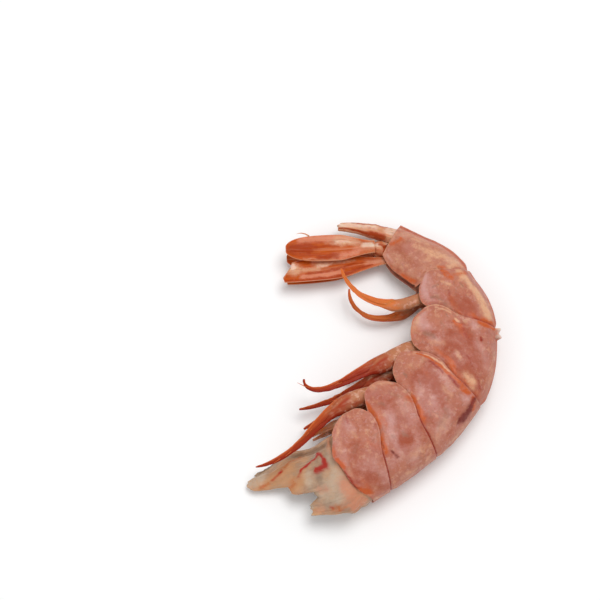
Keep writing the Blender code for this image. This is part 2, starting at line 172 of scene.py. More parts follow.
# How far, as a share of its length, each limb's tan stem colour runs on over its blade.
LIMB_TAN = (1.2, 0.0, 0.0, 0.0, 0.0)

# ---- Fan ----
# Each: place of the root in plan and its height, heading, turn, length, half width, half depth, lean,
# height of the tip, slant.
BLADES = {
    "telson": (7.3, 36.66, 4.2, 159.0, 21.0, 16.6, 2.25, 2.0, 0.0, 5.4, 0.0),
    "fan_right_inner": (-0.1, 33.45, 7.1, 182.0, 0.0, 23.0, 3.2, 0.42, -6.0, 7.2, 0.0),
    "fan_right_outer": (3.3, 30.3, 4.7, 188.1, 0.0, 26.3, 3.3, 0.42, 6.0, 5.4, 0.43),
    "fan_left_inner": (-0.1, 33.3, 2.5, 184.0, 0.0, 22.8, 3.1, 0.40, 0.0, 2.2, 0.0),
    "fan_left_outer": (1.2, 31.0, 1.0, 188.0, 0.0, 23.4, 3.3, 0.40, 0.0, 0.6, 0.43),
}
BLADE_ROWS = 130
BLADE_SIDES = 88
BLADE_STEPS = 200
TELSON_ROWS = 120
TELSON_SIDES = 72
GROOVE_DEPTH = 0.24
# How far a blade's root reaches back into its knuckle.
ROOT_REACH = 0.8
# A curled thread at the upper edge of one blade: share along it, heading, length and radius.
CURLED_BLADE = "fan_right_inner"
CURL_PLACE = 0.72
CURL_HEADING = 140.0
CURL_LENGTH = 3.6
CURL_RADIUS = 0.2
# Each knuckle: plan place and height of its root inside the last plate, and the height of its far end.
KNUCKLES = {"right": (5.2, 33.45, 4.5, 6.0), "left": (5.4, 33.4, 1.9, 2.8)}
KNUCKLE_HEADING = 172.0
KNUCKLE_TURN = 14.0
KNUCKLE_LENGTH = 4.9
KNUCKLE_HALF_SIZE = (1.95, 1.15)
KNUCKLE_ROWS = 80
KNUCKLE_SIDES = 64

# ---- Lines at the front edge of each plate: from and to (share round the flank), red, orange, width ----
# On every plate but the first, the red line is partly painted shadow under the rim of the plate before,
# partly stained skin.
EDGE_LINES = (
    (0.12, 0.62, 0.30, 0.55, 0.24),
    (-0.40, 0.40, 0.80, 0.10, 0.22),
    (-0.55, 0.52, 0.90, 0.15, 0.28),
    (0.06, 0.55, 0.35, 0.60, 0.45),
    (-0.34, 0.34, 0.45, 0.90, 0.50),
    (0.08, 0.24, 0.20, 0.60, 0.40),
)

# The orange-red band along the back of each plate: middle and width as shares round the flank, strength.
BACK_BANDS = (
    (0.02, 0.02, 0.3), (0.02, 0.03, 0.4), (0.03, 0.03, 0.5), (0.03, 0.035, 0.9), (0.04, 0.04, 1.0),
    (0.07, 0.08, 1.0),
)
# How pale each plate's rear rim is, and how much paler than the salmon a plate is where it faces up: partly
# its own paler tone, partly a painted highlight, most on the last plate.
RIM_CREAM = (0.15, 0.35, 0.30, 0.65, 0.45, 0.55)
PLATE_PALENESS_AND_HIGHLIGHT = (0.10, 0.0, 0.0, 0.0, 0.10, 0.30)

# ---- Marks ----
# A mark is (radius, strength, then places along its stroke). On a plate a place is millimetres behind the
# front edge and millimetres round the flank from the middle of the back.
PLATE_MARKS = (
    dict(
        mauve=((1.3, 0.5, 4.6, 21.5, 6.3, 19), (1.5, 0.45, 7.5, 9.6, 4, 9.6), (1.5, 0.5, 7.3, 7, 6, 5)),
        dusky=((1.3, 0.5, 5.5, 15, 4.5, 12.5), (1.5, 0.55, 2.4, 9.8, 5.5, 8),
            (1.3, 0.4, 7.5, 17, 7.3, 13.3), (1.4, 0.5, 3.5, 6, 5, 3)),
        grey=((0.35, 0.45, 9.8, 22.8, 11, 22.7), (0.8, 0.4, 6.5, 14.5, 5, 13.5)),
        cream=((1, 0.45, 3.2, 23.5, 2.2, 20.5), (0.6, 0.4, 6.2, 18.5, 7.2, 16.5),
            (0.8, 0.35, 1.4, 10.6, 0.9, 9.6), (0.9, 0.6, 0.8, 2, 3, 1), (0.8, 0.3, 2.7, 18.5, 2.5, 15)),
        orange=((0.75, 0.95, 0.5, 13.5, 0.4, 11.5), (0.7, 0.6, 0.4, 18, 0.5, 15.5),
            (0.8, 0.9, 0.4, 6.5, 0.9, 5.2), (0.9, 0.45, 2.5, 7.5, 1.7, 5.5), (1, 0.35, 9.5, 14, 10.5, 11)),
        maroon=(),
        red=((0.3, 0.7, 0.1, 10.5, 0.3, 7.2), (0.5, 0.45, 5.1, 22.5, 5.6, 21),
            (0.55, 0.5, 12.9, 18.8, 12.6, 17), (0.6, 0.4, 0.8, 9, 1.6, 8)),
    ),
    dict(
        mauve=((1.3, 0.65, 5.6, 17.4, 5, 14.8), (1, 0.55, 3.3, 13.1, 4.1, 11.2),
            (1.5, 0.45, 4.3, 9, 1.6, 7.9), (1.6, 0.5, 9, 9, 6, 6), (1.2, 0.4, 9.5, 17, 10, 14.5)),
        dusky=((0.9, 0.9, 5.3, 10.3, 7.8, 9.6), (2, 0.6, 7, 17.5, 7, 13), (1.3, 0.45, 3.2, 21.5, 4.4, 18.5),
            (1.3, 0.5, 11.3, 10.5, 10.6, 8.5), (1.2, 0.35, 8, 14, 9, 12)),
        grey=((0.45, 0.6, 6.3, 11.2, 7.1, 10.4), (0.4, 0.5, 4.4, 19.3, 5.1, 18.5),
            (0.4, 0.45, 3.4, 12, 4.3, 11.3), (0.9, 0.4, 9, 19.5, 10.5, 18)),
        cream=((0.8, 0.45, 5.6, 23.3, 11, 22.8), (1, 0.35, 6.2, 6.7, 9.7, 6.1), (1.4, 0.35, 3, 3, 9, 2.6),
            (0.4, 0.6, 12, 19.5, 12.2, 19)),
        orange=((0.95, 0.95, 0.5, 22.5, 0.6, 20.2), (0.8, 0.7, 0.8, 18.5, 0.8, 16.2),
            (0.8, 0.85, 0.4, 13.6, 0.6, 10.6), (1, 0.45, 2.6, 17.8, 2.8, 15.2),
            (0.8, 0.6, 12, 17.3, 12.4, 16)),
        maroon=((0.3, 0.75, 2.2, 10, 3, 8.2), (0.25, 0.5, 0.3, 12.5, 0.4, 11)),
        red=((0.35, 0.4, 12.3, 16.6, 12.3, 15),),
    ),
    dict(
        mauve=((1.3, 0.55, 6.7, 14, 6.7, 11.3), (1.3, 0.6, 12.5, 6.8, 13.6, 6),
            (1.5, 0.5, 5.8, 17.9, 3.6, 15), (1.3, 0.45, 11, 13.5, 11.3, 11.5), (1.9, 0.55, 6.5, 8, 3, 7)),
        dusky=((2.3, 0.75, 6, 17, 8.5, 12.5), (1.5, 0.6, 9.2, 11, 8.9, 14.6),
            (1.5, 0.4, 4.4, 19.7, 2, 16.7), (1.2, 0.5, 1.8, 12, 2.6, 9), (1, 0.4, 6.8, 10, 6, 8.6)),
        grey=((0.45, 0.7, 3.8, 20.8, 3.7, 19.8), (0.4, 0.5, 5.5, 16.7, 4.9, 15.5),
            (0.3, 0.5, 3, 11, 3.2, 9.8), (1, 0.5, 6.9, 8.3, 3.8, 7.5), (0.4, 0.4, 8.6, 9.6, 9.2, 9.4)),
        cream=((1.4, 0.3, 6, 20, 8.5, 18.5), (1.2, 0.35, 5, 7.5, 1.6, 6), (0.8, 0.4, 10, 11, 10.4, 9.6),
            (1.2, 0.35, 4, 2.5, 9, 1.6), (0.3, 0.8, 13.7, 20, 13.8, 16, 14.1, 12)),
        orange=((0.85, 0.9, 0.2, 17, 0.4, 15.2), (0.8, 0.75, 0.6, 13.4, 1, 10.6),
            (0.42, 0.95, 12.6, 21.2, 13.1, 18.6, 13, 15.6, 13.6, 12.5, 14.2, 9.6),
            (0.45, 0.6, 14.2, 9, 14.4, 6.6), (0.5, 0.75, 13.5, 8.3, 14.1, 7),
            (0.8, 0.35, 8.5, 16.8, 8.2, 15.4), (0.6, 0.8, 14, 5.2, 12.8, 3.4)),
        maroon=((0.95, 0.98, 9.6, 4.3, 11.6, 4.2), (0.6, 0.8, 7.6, 4.8, 9, 4.4),
            (0.6, 0.8, 12, 4.3, 14, 4.7), (0.2, 0.6, 0.2, 8, 0.2, 2)),
        red=((0.4, 0.7, 12.1, 17, 12.6, 13.2), (0.45, 0.75, 13.3, 11.2, 13.2, 9.2),
            (0.4, 0.5, 13.9, 5.2, 13, 4.4)),
    ),
    dict(
        mauve=((1.3, 0.7, 13, 21.5, 9.9, 21.7), (2, 0.65, 8.6, 20, 6.5, 18),
            (0.9, 0.6, 14.6, 8.6, 13.8, 8.4), (1.3, 0.45, 9.7, 7.1, 6, 5), (1.3, 0.4, 8.7, 14.9, 6.1, 15.8),
            (1.2, 0.35, 12, 14.5, 11, 13.5)),
        dusky=((1.3, 0.95, 12.9, 10.7, 10, 9.8), (2.3, 0.6, 8.5, 11.6, 4.5, 13.2),
            (2.2, 0.75, 2.6, 13.5, 2.6, 8.6), (1.5, 0.4, 7.5, 9, 5.9, 6.7), (1.3, 0.55, 6, 20, 7.9, 16.4),
            (1.5, 0.6, 9.5, 13, 7, 12.5)),
        grey=((0.35, 0.6, 14.4, 14.9, 13.8, 14.2), (0.9, 0.6, 6.5, 20, 6.3, 17.5),
            (0.5, 0.4, 11, 16, 10.4, 14.8)),
        cream=((0.95, 0.8, 1.8, 8.3, 1.4, 6.8), (0.9, 0.4, 4, 18.8, 6, 14.8),
            (0.6, 0.5, 5.6, 11.2, 4.5, 10.7), (0.4, 0.8, 14.2, 11.9, 14, 11.4),
            (1.3, 0.45, 7.3, 23, 11.6, 22.7), (0.35, 0.6, 15.5, 19, 15.4, 13.5), (1, 0.3, 10, 3, 4, 2.5)),
        orange=((1.1, 0.5, 2.1, 17.2, 2, 14), (0.8, 0.98, 2, 12.2, 0.9, 11.5),
            (0.6, 0.8, 13.3, 12.3, 12.9, 11.2), (0.9, 0.45, 12, 11, 10.8, 10),
            (0.4, 0.98, 15.4, 7.4, 15.9, 2.4), (0.7, 0.5, 0.6, 9.8, 0.4, 8.4)),
        maroon=(),
        red=((0.38, 0.98, 11.7, 6.7, 11.2, 6.6), (0.3, 0.5, 6.4, 10.1, 5.6, 9, 4.4, 8),
            (0.4, 0.55, 2.8, 6.5, 1.6, 4.6), (0.35, 0.4, 6.3, 11.4, 5.8, 10.4),
            (0.6, 0.5, 12.4, 10.6, 10.6, 9.8)),
    ),
    dict(
        mauve=((1.6, 0.85, 11, 21.6, 4, 21.8), (1.6, 0.5, 9, 18.5, 5, 18), (0.8, 0.5, 2, 21, 1.5, 19.5),
            (0.9, 0.5, 0.9, 7.9, 1.6, 7.6)),
        dusky=((1.8, 0.9, 3, 11.4, 1.2, 9.9), (1.3, 0.7, 3.5, 8.9, 1.4, 8.4), (1, 0.45, 6.5, 11, 4.5, 10)),
        grey=((0.3, 0.6, 5.8, 18.4, 7.3, 15.4), (0.45, 0.7, 2.6, 20.3, 2.8, 18.8),
            (1.2, 0.6, 2.9, 17.4, 1.4, 15.4), (0.3, 0.6, 9.7, 8.6, 8.4, 8.6), (0.3, 0.4, 6, 9, 5, 8.4)),
        # The long cream stroke near the back of this plate is a painted highlight along its back.
        cream=((1.3, 0.98, 12.2, 6.6, 9, 5.9, 5, 5.2, 1.8, 4.5), (0.6, 0.5, 8.4, 14, 8.9, 11.5)),
        orange=((0.8, 0.8, 11.4, 11.8, 11.1, 10.4), (0.7, 0.7, 12.9, 12.1, 12.7, 10.8),
            (0.5, 0.5, 12, 9, 12.9, 4.6), (1, 0.4, 4.4, 12.3, 2.2, 12.1), (0.45, 0.98, 0.4, 6.5, 0.4, 1)),
        maroon=(),
        red=((0.4, 0.55, 6.6, 12.4, 4.8, 12.9), (0.22, 0.6, 12.4, 0.9, 7, 0.8, 1.5, 0.8)),
    ),
    dict(
        mauve=((1, 0.55, 12.4, 20.8, 10.8, 21.4), (1.3, 0.5, 2.2, 7.3, 1.4, 5.6),
            (1, 0.4, 15.5, 9, 15, 6.5)),
        # The long dusky stroke along the last plate's hem is painted shade where the skirt turns down.
        dusky=((1.7, 1, 1.5, 23.2, 5.5, 23.4, 9.5, 23), (1.8, 0.6, 12.5, 14.2, 7.5, 16.5),
            (1.5, 0.7, 14.6, 10, 14.8, 16)),
        grey=((0.5, 0.4, 1.8, 11.6, 1.4, 10.4), (0.6, 0.4, 13.5, 9, 12.8, 8)),
        # The cream strokes on the last plate are a painted highlight on its upper side.
        cream=((1.8, 0.6, 5.3, 8.6, 2.4, 6.8, 1.3, 4), (1.5, 0.5, 10.5, 9.5, 5.6, 9.4),
            (1.2, 0.5, 13, 7, 9, 6.2), (0.8, 0.5, 0.8, 9, 1.2, 6.5)),
        orange=((0.8, 0.6, 1, 12, 0.5, 10.5), (1.1, 0.85, 2, 22.8, 6, 23.6), (0.8, 0.6, 15.2, 9, 15, 14)),
        maroon=(),
        red=((0.35, 0.5, 0.3, 16, 0.2, 12.5), (0.3, 0.4, 0.2, 8.4, 0.2, 6)),
    ),
)
# On the torn neck a place is millimetres ahead of the first plate and degrees round from the back.
NECK_MARKS = dict(
    # The broad grey stroke is painted shade on the belly side of the neck, next to the limbs.
    grey=((1.5, 1, 3, 136, 7, 141, 11, 138), (0.9, 0.4, 7.5, 84, 9.5, 82), (0.8, 0.4, 1.5, 88, 1.2, 70)),
    tan=((2.2, 0.85, 14, 118, 18, 110, 22, 108), (1.4, 0.7, 11.5, 88, 14.5, 84),
        (1.2, 0.5, 9, 128, 12, 126)),
    milky=((1.7, 0.75, 3.5, 78, 8, 66), (1.4, 0.75, 2.5, 62, 5, 48), (0.9, 0.7, 10.5, 85, 9.5, 90),
        (1.4, 1, 21, 120, 24.5, 112), (0.9, 0.5, 4, 100, 3, 112)),
    skin=((2.2, 1, 1.6, 62, 1.6, 42, 1, 22), (0.8, 0.6, 8.4, 73, 7, 70), (0.9, 0.4, 9, 46, 11, 44)),
    orange=((0.5, 0.7, 10.3, 131, 13.2, 124, 16, 112, 18.5, 105), (0.5, 0.7, 20, 100, 22.5, 99),
        (0.8, 0.6, 6.8, 42, 4.6, 41), (0.6, 0.6, 13.4, 91, 14.8, 86), (0.4, 0.4, 5, 36, 6.5, 34)),
    red=((0.44, 1, 5.9, 124, 5.6, 118), (0.32, 0.95, 6.2, 119, 7.6, 112, 9.8, 106, 11, 99),
        (0.3, 0.7, 11, 99, 12.2, 92), (0.3, 1, 5.4, 117, 5.2, 108, 5.2, 101), (0.55, 1, 5.1, 100, 5, 95),
        (0.42, 1, 5.4, 94, 7.8, 94), (0.32, 0.85, 15.8, 112, 16.3, 111), (0.3, 0.55, 17, 108, 19, 103),
        (0.4, 0.5, 7.4, 46, 7, 43)),
)
# On a piece of the fan a place is millimetres from its root and millimetres across from its middle line.
FAN_MARKS = {
    "telson": dict(
        white=((0.9, 1, 16.8, -0.4, 13.5, -0.7), (0.8, 0.75, 13, -0.9, 7, -1),
            (0.8, 0.95, 3.6, -0.8, 1, -0.6)),
        pink=((1.4, 0.9, 13, 0.4, 3, 0.8), (0.8, 0.7, 16, 0.8, 14, 1)),
        deep=((0.9, 1, 8, 1.5, 4.5, 1.6), (0.35, 1, 16, 1.1, 9, 1.5), (0.3, 0.7, 13, -1.7, 4, -2)),
        pale=((1.1, 0.98, 16.6, -0.2, 14.8, -0.2), (1, 0.7, 14, -0.4, 10, -0.2),
            (1.1, 0.95, 3.8, -0.6, 0.5, -0.4)),
    ),
    "fan_right_inner": dict(
        # The first white and the last pale stroke, at the root, are a painted glint where the blade meets the
        # knuckle.
        white=((0.9, 0.9, 2.2, -0.7, 0.8, -0.7), (0.5, 0.5, 10, -1.4, 6, -1.4)),
        pink=((1, 0.75, 10, 2.3, 4.5, 2.1), (1, 0.7, 4, 0.6, 1, 0.4), (0.9, 0.95, 19, -2.4, 6, -2.3)),
        deep=((1.7, 0.95, 21.5, 0.2, 17, 0.2), (0.8, 0.8, 14, 2.1, 9.5, 2), (0.4, 0.6, 17.5, -0.3, 9, -0.3),
            (0.3, 0.5, 15, -1.5, 10, -1.4)),
        pale=((1.2, 0.75, 9, -1.9, 4.5, -1.8), (0.7, 0.45, 12, -1.2, 5, -0.9), (0.3, 0.5, 18, 2.7, 9, 3),
            (0.9, 0.95, 2.4, -0.6, 0.6, -0.6)),
    ),
    "fan_right_outer": dict(
        # The short white stroke midway along this blade is a painted glint; the white at its tip is its own
        # colour.
        white=((0.7, 0.9, 25.6, -2.2, 24.6, -1.2), (0.4, 0.5, 18, -0.8, 14, -1)),
        pink=((0.7, 0.95, 22, 2, 12, 1.7), (1, 0.7, 19, -2, 10, -2), (1.3, 0.85, 4, 0.3, 0.3, 0.2)),
        deep=((0.5, 0.8, 26, 2.9, 22, 2.9, 11, 2.8, 4, 1.6), (0.35, 0.8, 21, 1.1, 13, 0.9, 6, -0.4),
            (0.6, 0.5, 11, 1.2, 6, 1.2), (0.4, 0.7, 24, -3, 15, -3.1)),
        pale=((1.4, 0.95, 25.6, -1.9, 24, -0.2), (0.7, 0.7, 18, -0.8, 15.5, -1.1),
            (0.6, 0.7, 23, -0.2, 18, 0), (0.6, 0.45, 14, -0.9, 8, -1.2)),
    ),
    # On the knuckle the white and pale strokes are painted glints on its knobs, over its own cream.
    "knuckle_right": dict(
        white=((0.5, 0.9, 4.2, -0.7, 3.8, -0.5), (0.4, 0.9, 1.7, -0.9, 1.3, -0.9)),
        pink=((0.9, 0.6, 2, 0.9, 3.6, 1),),
        deep=((0.35, 0.98, 0.9, -0.9, 2.4, -0.2, 3.4, -0.6), (0.3, 0.9, 2.4, -0.2, 2.6, 1.2),
            (0.4, 0.6, 0.3, 1, 0.6, -1)),
        pale=((0.7, 0.98, 2.2, -1.3, 1.4, -1.4), (0.8, 0.98, 4.3, -0.2, 3.6, 0.2)),
    ),
}
NO_FAN_MARKS = dict.fromkeys(FAN_MARKS["telson"], ())

# ---- Stage: metres, but the sensor's width in millimetres ----
FLOOR_REACH = 3.0
SENSOR_WIDTH = 36.0
CLIP_START = 0.01
# Each lamp: name, place and width.
LAMPS = (("key", (0.10, 0.14, 0.55), 0.35), ("fill", (-0.45, -0.30, 0.40), 0.5))


def smooth(t):
    """0 below 0, 1 above 1 and a soft step between."""
    t = np.clip(t, 0.0, 1.0)
    return t * t * (3.0 - 2.0 * t)


def bell(distance, width):
    """1 at no distance, falling softly to nothing within about twice the width."""
    return np.exp(-(distance / width) ** 2)


def stacked(*values):
    """Grids or numbers whose shapes match, as one grid of points."""
    return np.stack(np.broadcast_arrays(*values), axis=-1)


def direction(degrees):
    """Unit vector in plan."""
    turn = math.radians(degrees)
    return np.array([math.cos(turn), math.sin(turn), 0.0])


JOINTS = np.concatenate([[0.0], np.cumsum(SHELL_LENGTH)])


def along(values, s):
    """A smooth curve through one value at each joint, level beyond the ends."""
    values = np.asarray(values, float)
    slopes = np.gradient(values, JOINTS)
    s = np.clip(np.asarray(s, float), JOINTS[0], JOINTS[-1])
    i = np.clip(np.searchsorted(JOINTS, s) - 1, 0, len(JOINTS) - 2)
    h = JOINTS[i + 1] - JOINTS[i]
    t = (s - JOINTS[i]) / h
    start = values[i] * (1 + 2 * t) * (1 - t) ** 2 + values[i + 1] * t * t * (3 - 2 * t)
    return start + h * (slopes[i] * t * (1 - t) ** 2 - slopes[i + 1] * t * t * (1 - t))


def heading(s):
    """Plan direction of the spine at s, in radians, pointing tailwards."""
    turned = FRONT_HEADING - NECK_TURN * smooth(-s / 12.0)
    for joint, bend in zip(JOINTS[1:-1], JOINT_BEND):
        turned = turned + bend * smooth((s - joint) / BEND_LENGTH + 0.5)
    return np.radians(turned)


def spine_samples():
    """Stations along the spine with their plan places, summed in small steps from the start."""
    stations = np.arange(-NECK_REACH, JOINTS[-1] + SPINE_STEP, SPINE_STEP)
    middle = heading(stations[:-1] + SPINE_STEP / 2)
    x = np.concatenate([[0.0], np.cumsum(np.cos(middle) * SPINE_STEP)])
    y = np.concatenate([[0.0], np.cumsum(np.sin(middle) * SPINE_STEP)])
    x += SPINE_START[0] - np.interp(0.0, stations, x)
    y += SPINE_START[1] - np.interp(0.0, stations, y)
    return stations, x, y


SPINE = spine_samples()


def centre_height(s):
    """Height of the spine over the floor: the rolled section rests on a small flat, and the neck droops."""
    roll = np.radians(along(ROLL, s))
    reach = np.hypot(along(HALF_WIDTH, s) * np.cos(roll), along(BACK_RISE, s) * np.sin(roll))
    return reach - SUNK - NECK_DROOP * smooth(-s / 25.0)


def place(s, rise, side):
    """Points at station s, `rise` towards the back and `side` towards the right flank."""
    s, rise, side = np.broadcast_arrays(s, rise, side)
    stations, x, y = SPINE
    turn = heading(s)
    roll = np.radians(along(ROLL, s))
    out = rise * np.cos(roll) - side * np.sin(roll)
    up = centre_height(s) + side * np.cos(roll) + rise * np.sin(roll)
    return np.stack([
        np.interp(s, stations, x) + out * np.sin(turn),
        np.interp(s, stations, y) - out * np.cos(turn),
        up,
    ], axis=-1)


def lobe(profile):
    """How far round the flank a joint's edge sweeps tailwards: none on the back, most above the hem."""
    return np.sin(math.pi * np.clip((np.abs(profile) - 0.42) / 0.80, 0.0, 1.0)) ** 1.2


def arch_and_down(profile):
    """Angle over the back, and share of the way from the flank's shoulder down to the hem."""
    around = np.abs(profile)
    arch = np.clip(around / ARCH_SHARE, 0.0, 1.0) * math.pi / 2
    down = np.clip((around - ARCH_SHARE) / (1 - ARCH_SHARE), 0.0, 1.0)
    return arch, down


def joint_edge(joint, profile):
    """Station of a joint's visible edge round the flank: it leans headwards over the back, with a lobe."""
    arch, down = arch_and_down(profile)
    height = (1 + np.cos(arch) - down) / 2
    edge = JOINTS[joint] - EDGE_LEAN[joint] * height + LOBE_REACH[joint] * lobe(profile)
    if joint == 0:
        around = np.abs(profile)
        edge = edge - FRONT_BULGE * smooth((around - 0.08) / 0.32) * (1 - smooth((around - 0.55) / 0.45))
    return edge


def shell_section(s, profile, inset, drop, keel):
    """(rise, side) of a shell's section: an arch over the back, then a flank that leans in to its hem."""
    arch, down = arch_and_down(profile)
    half = along(HALF_WIDTH, s)
    ridge = keel * np.exp(-(profile / 0.06) ** 2)
    rise = (along(BACK_RISE, s) - inset) * np.cos(arch) + ridge - drop * down
    lean_in = SKIRT_TAPER * (drop * down / along(SKIRT_DROP, s)) ** 2
    side = (half * (1 - lean_in) - inset) * np.where(np.abs(profile) < ARCH_SHARE, np.sin(arch), 1.0)
    return rise, side * np.sign(profile)


# ---- Relief and stains ----

# How far noise bends a mark's edge, in millimetres, and the share, size and shift of its layers.
MARK_BEND = 0.28
MARK_WAVES = ((1.0, 1.9, 0), (0.5, 0.7, 0))
# Width of a mark's soft edge against its radius.
MARK_SPREAD = 1.2
# Millimetres round a flank from the back to the hem, and in one degree round the neck.
ROUND_MM = 24.0
DEGREE_MM = 0.13
LATTICE_CELLS = 48
LATTICE = np.random.default_rng(20).random((LATTICE_CELLS,) * 3)


def grain(points, cell):
    """Smooth random values from -1 to 1 that change over `cell` millimetres, a number or one each way."""
    p = np.asarray(points) / np.asarray(cell) + 7.31
    low = np.floor(p).astype(int)
    part = smooth(p - low)
    total = np.zeros(p.shape[:-1])
    for corner in np.ndindex(2, 2, 2):
        share = np.where(np.array(corner) == 1, part, 1 - part).prod(-1)
        x, y, z = np.moveaxis((low + corner) % LATTICE_CELLS, -1, 0)
        total += share * LATTICE[x, y, z]
    return total * 2 - 1


def layered(points, layers):
    """Sum of random layers, each (height, size, shift)."""
    return sum(height * grain(points + shift, cell) for height, cell, shift in layers)


def mark_mask(points, places, marks, scale=(1.0, 1.0)):
    """How strongly each point lies under soft marks on the piece's own grid, their edges bent at random."""
    bend = stacked(*(layered(points + shift, MARK_WAVES) for shift in (3.0, 23.0)))
    spots = places * scale + MARK_BEND * bend
    bare = np.ones(spots.shape[:-1])
    for radius, strength, *track in marks:
        nodes = np.reshape(track, (-1, 2)) * scale
        near = np.full(bare.shape, np.inf)
        for a, b in zip(nodes, nodes[1:]):
            run = b - a
            t = np.clip((spots - a) @ run / (run @ run), 0.0, 1.0)
            near = np.minimum(near, np.linalg.norm(spots - a - t[..., None] * run, axis=-1))
        bare = bare * (1 - strength * bell(near, MARK_SPREAD * radius))
    return 1 - bare


def all_marks(points, places, marks, upper, scale=(1.0, 1.0)):
    """One painted value for each colour of a piece's marks, on what faces up."""
    return {colour: mark_mask(points, places, some, scale) * upper for colour, some in marks.items()}


def grid_normals(points, centre):
    """Unit normals of a grid of points, turned away from a centre line."""
    normal = np.cross(np.gradient(points, axis=0), np.gradient(points, axis=1))
    normal /= np.linalg.norm(normal, axis=-1, keepdims=True) + 1e-12
    away = np.sign(((points - centre) * normal).sum())
    return normal * away


# ---- Meshes ----

def write_piece(name, points, faces, material, stands_for, values):
    """One visible piece from points in millimetres, with its painted values, riding on the body."""
    mesh = bpy.data.meshes.new(name)
    placed = (np.asarray(points).reshape(-1, 3) - (*PLAN_CENTRE, 0.0)) * MM
    mesh.from_pydata(placed.tolist(), [], [f for group in faces for f in np.asarray(group).tolist()])
    mesh.shade_smooth()
    for key, value in values.items():
        value = np.asarray(value, np.float32)
        if value.shape[-1:] == (3,) and value.size == placed.size:
            mesh.attributes.new(key, "FLOAT_VECTOR", "POINT").data.foreach_set("vector", value.ravel())
        else:
            mesh.attributes.new(key, "FLOAT", "POINT").data.foreach_set("value", value.ravel())
    mesh.materials.append(material)
    piece = bpy.data.objects.new(name, mesh)
    bpy.context.scene.collection.objects.link(piece)
    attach(piece, "root")
    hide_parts(stands_for)
    return piece


def ring_quads(rings, sides, first=0):
    """Quads between neighbouring closed rings."""
    i, j = np.meshgrid(np.arange(rings - 1), np.arange(sides), indexing="ij")
    k = (j + 1) % sides
    quads = np.stack([i * sides + j, i * sides + k, (i + 1) * sides + k, (i + 1) * sides + j], -1)
    return quads.reshape(-1, 4) + first


def slab_faces(rows, columns):
    """Faces of a closed curved plate whose rings run over its outer grid and back along its inner grid."""
    sides = 2 * columns
    j = np.arange(columns - 1)
    back = sides - 1 - j
    end = (rows - 1) * sides
    front_cap = np.stack([back, back - 1, j + 1, j], -1)
    rear_cap = np.stack([end + j, end + j + 1, end + back - 1, end + back], -1)
    return [ring_quads(rows, sides)[:, ::-1], front_cap[:, ::-1], rear_cap[:, ::-1]]


def tube_faces(rings, sides, first=0):
    """Faces of a closed tube, whose last two points are the middles of its ends."""
    j = np.arange(sides)
    k = (j + 1) % sides
    end = (rings - 1) * sides
    middle = rings * sides
    caps = [
        np.stack([np.full(sides, middle), k, j], -1) + first,
        np.stack([np.full(sides, middle + 1), end + j, end + k], -1) + first,
    ]
    return [ring_quads(rings, sides, first), *caps]


def with_ends(rings):
    """A tube's points, followed by the middles of its two ends."""
    return np.concatenate([rings.reshape(-1, 3), rings[:1].mean(1), rings[-1:].mean(1)])


def ends_too(values):
    """Values for a tube's points and for the middles of its two ends."""
    values = np.asarray(values)
    flat = values.reshape(-1, *values.shape[2:])
    return np.concatenate([flat, flat[:1], flat[-1:]])


# ---- Shells ----

def eased(count):
    """Steps from 0 to 1 that are finer at both ends."""
    t = np.linspace(0.0, 1.0, count)
    return t - 0.72 * np.sin(2 * math.pi * t) / (2 * math.pi)


def flank_columns():
    """Places round a shell from the left hem over the back to the right hem, finer at the hems."""
    left, right = (np.linspace(0.0, 1.0, n) for n in (LEFT_COLUMNS, RIGHT_COLUMNS))
    left, right = (t + 0.5 * np.sin(math.pi * t) / math.pi for t in (left, right))
    return np.concatenate([-left[:0:-1], right])


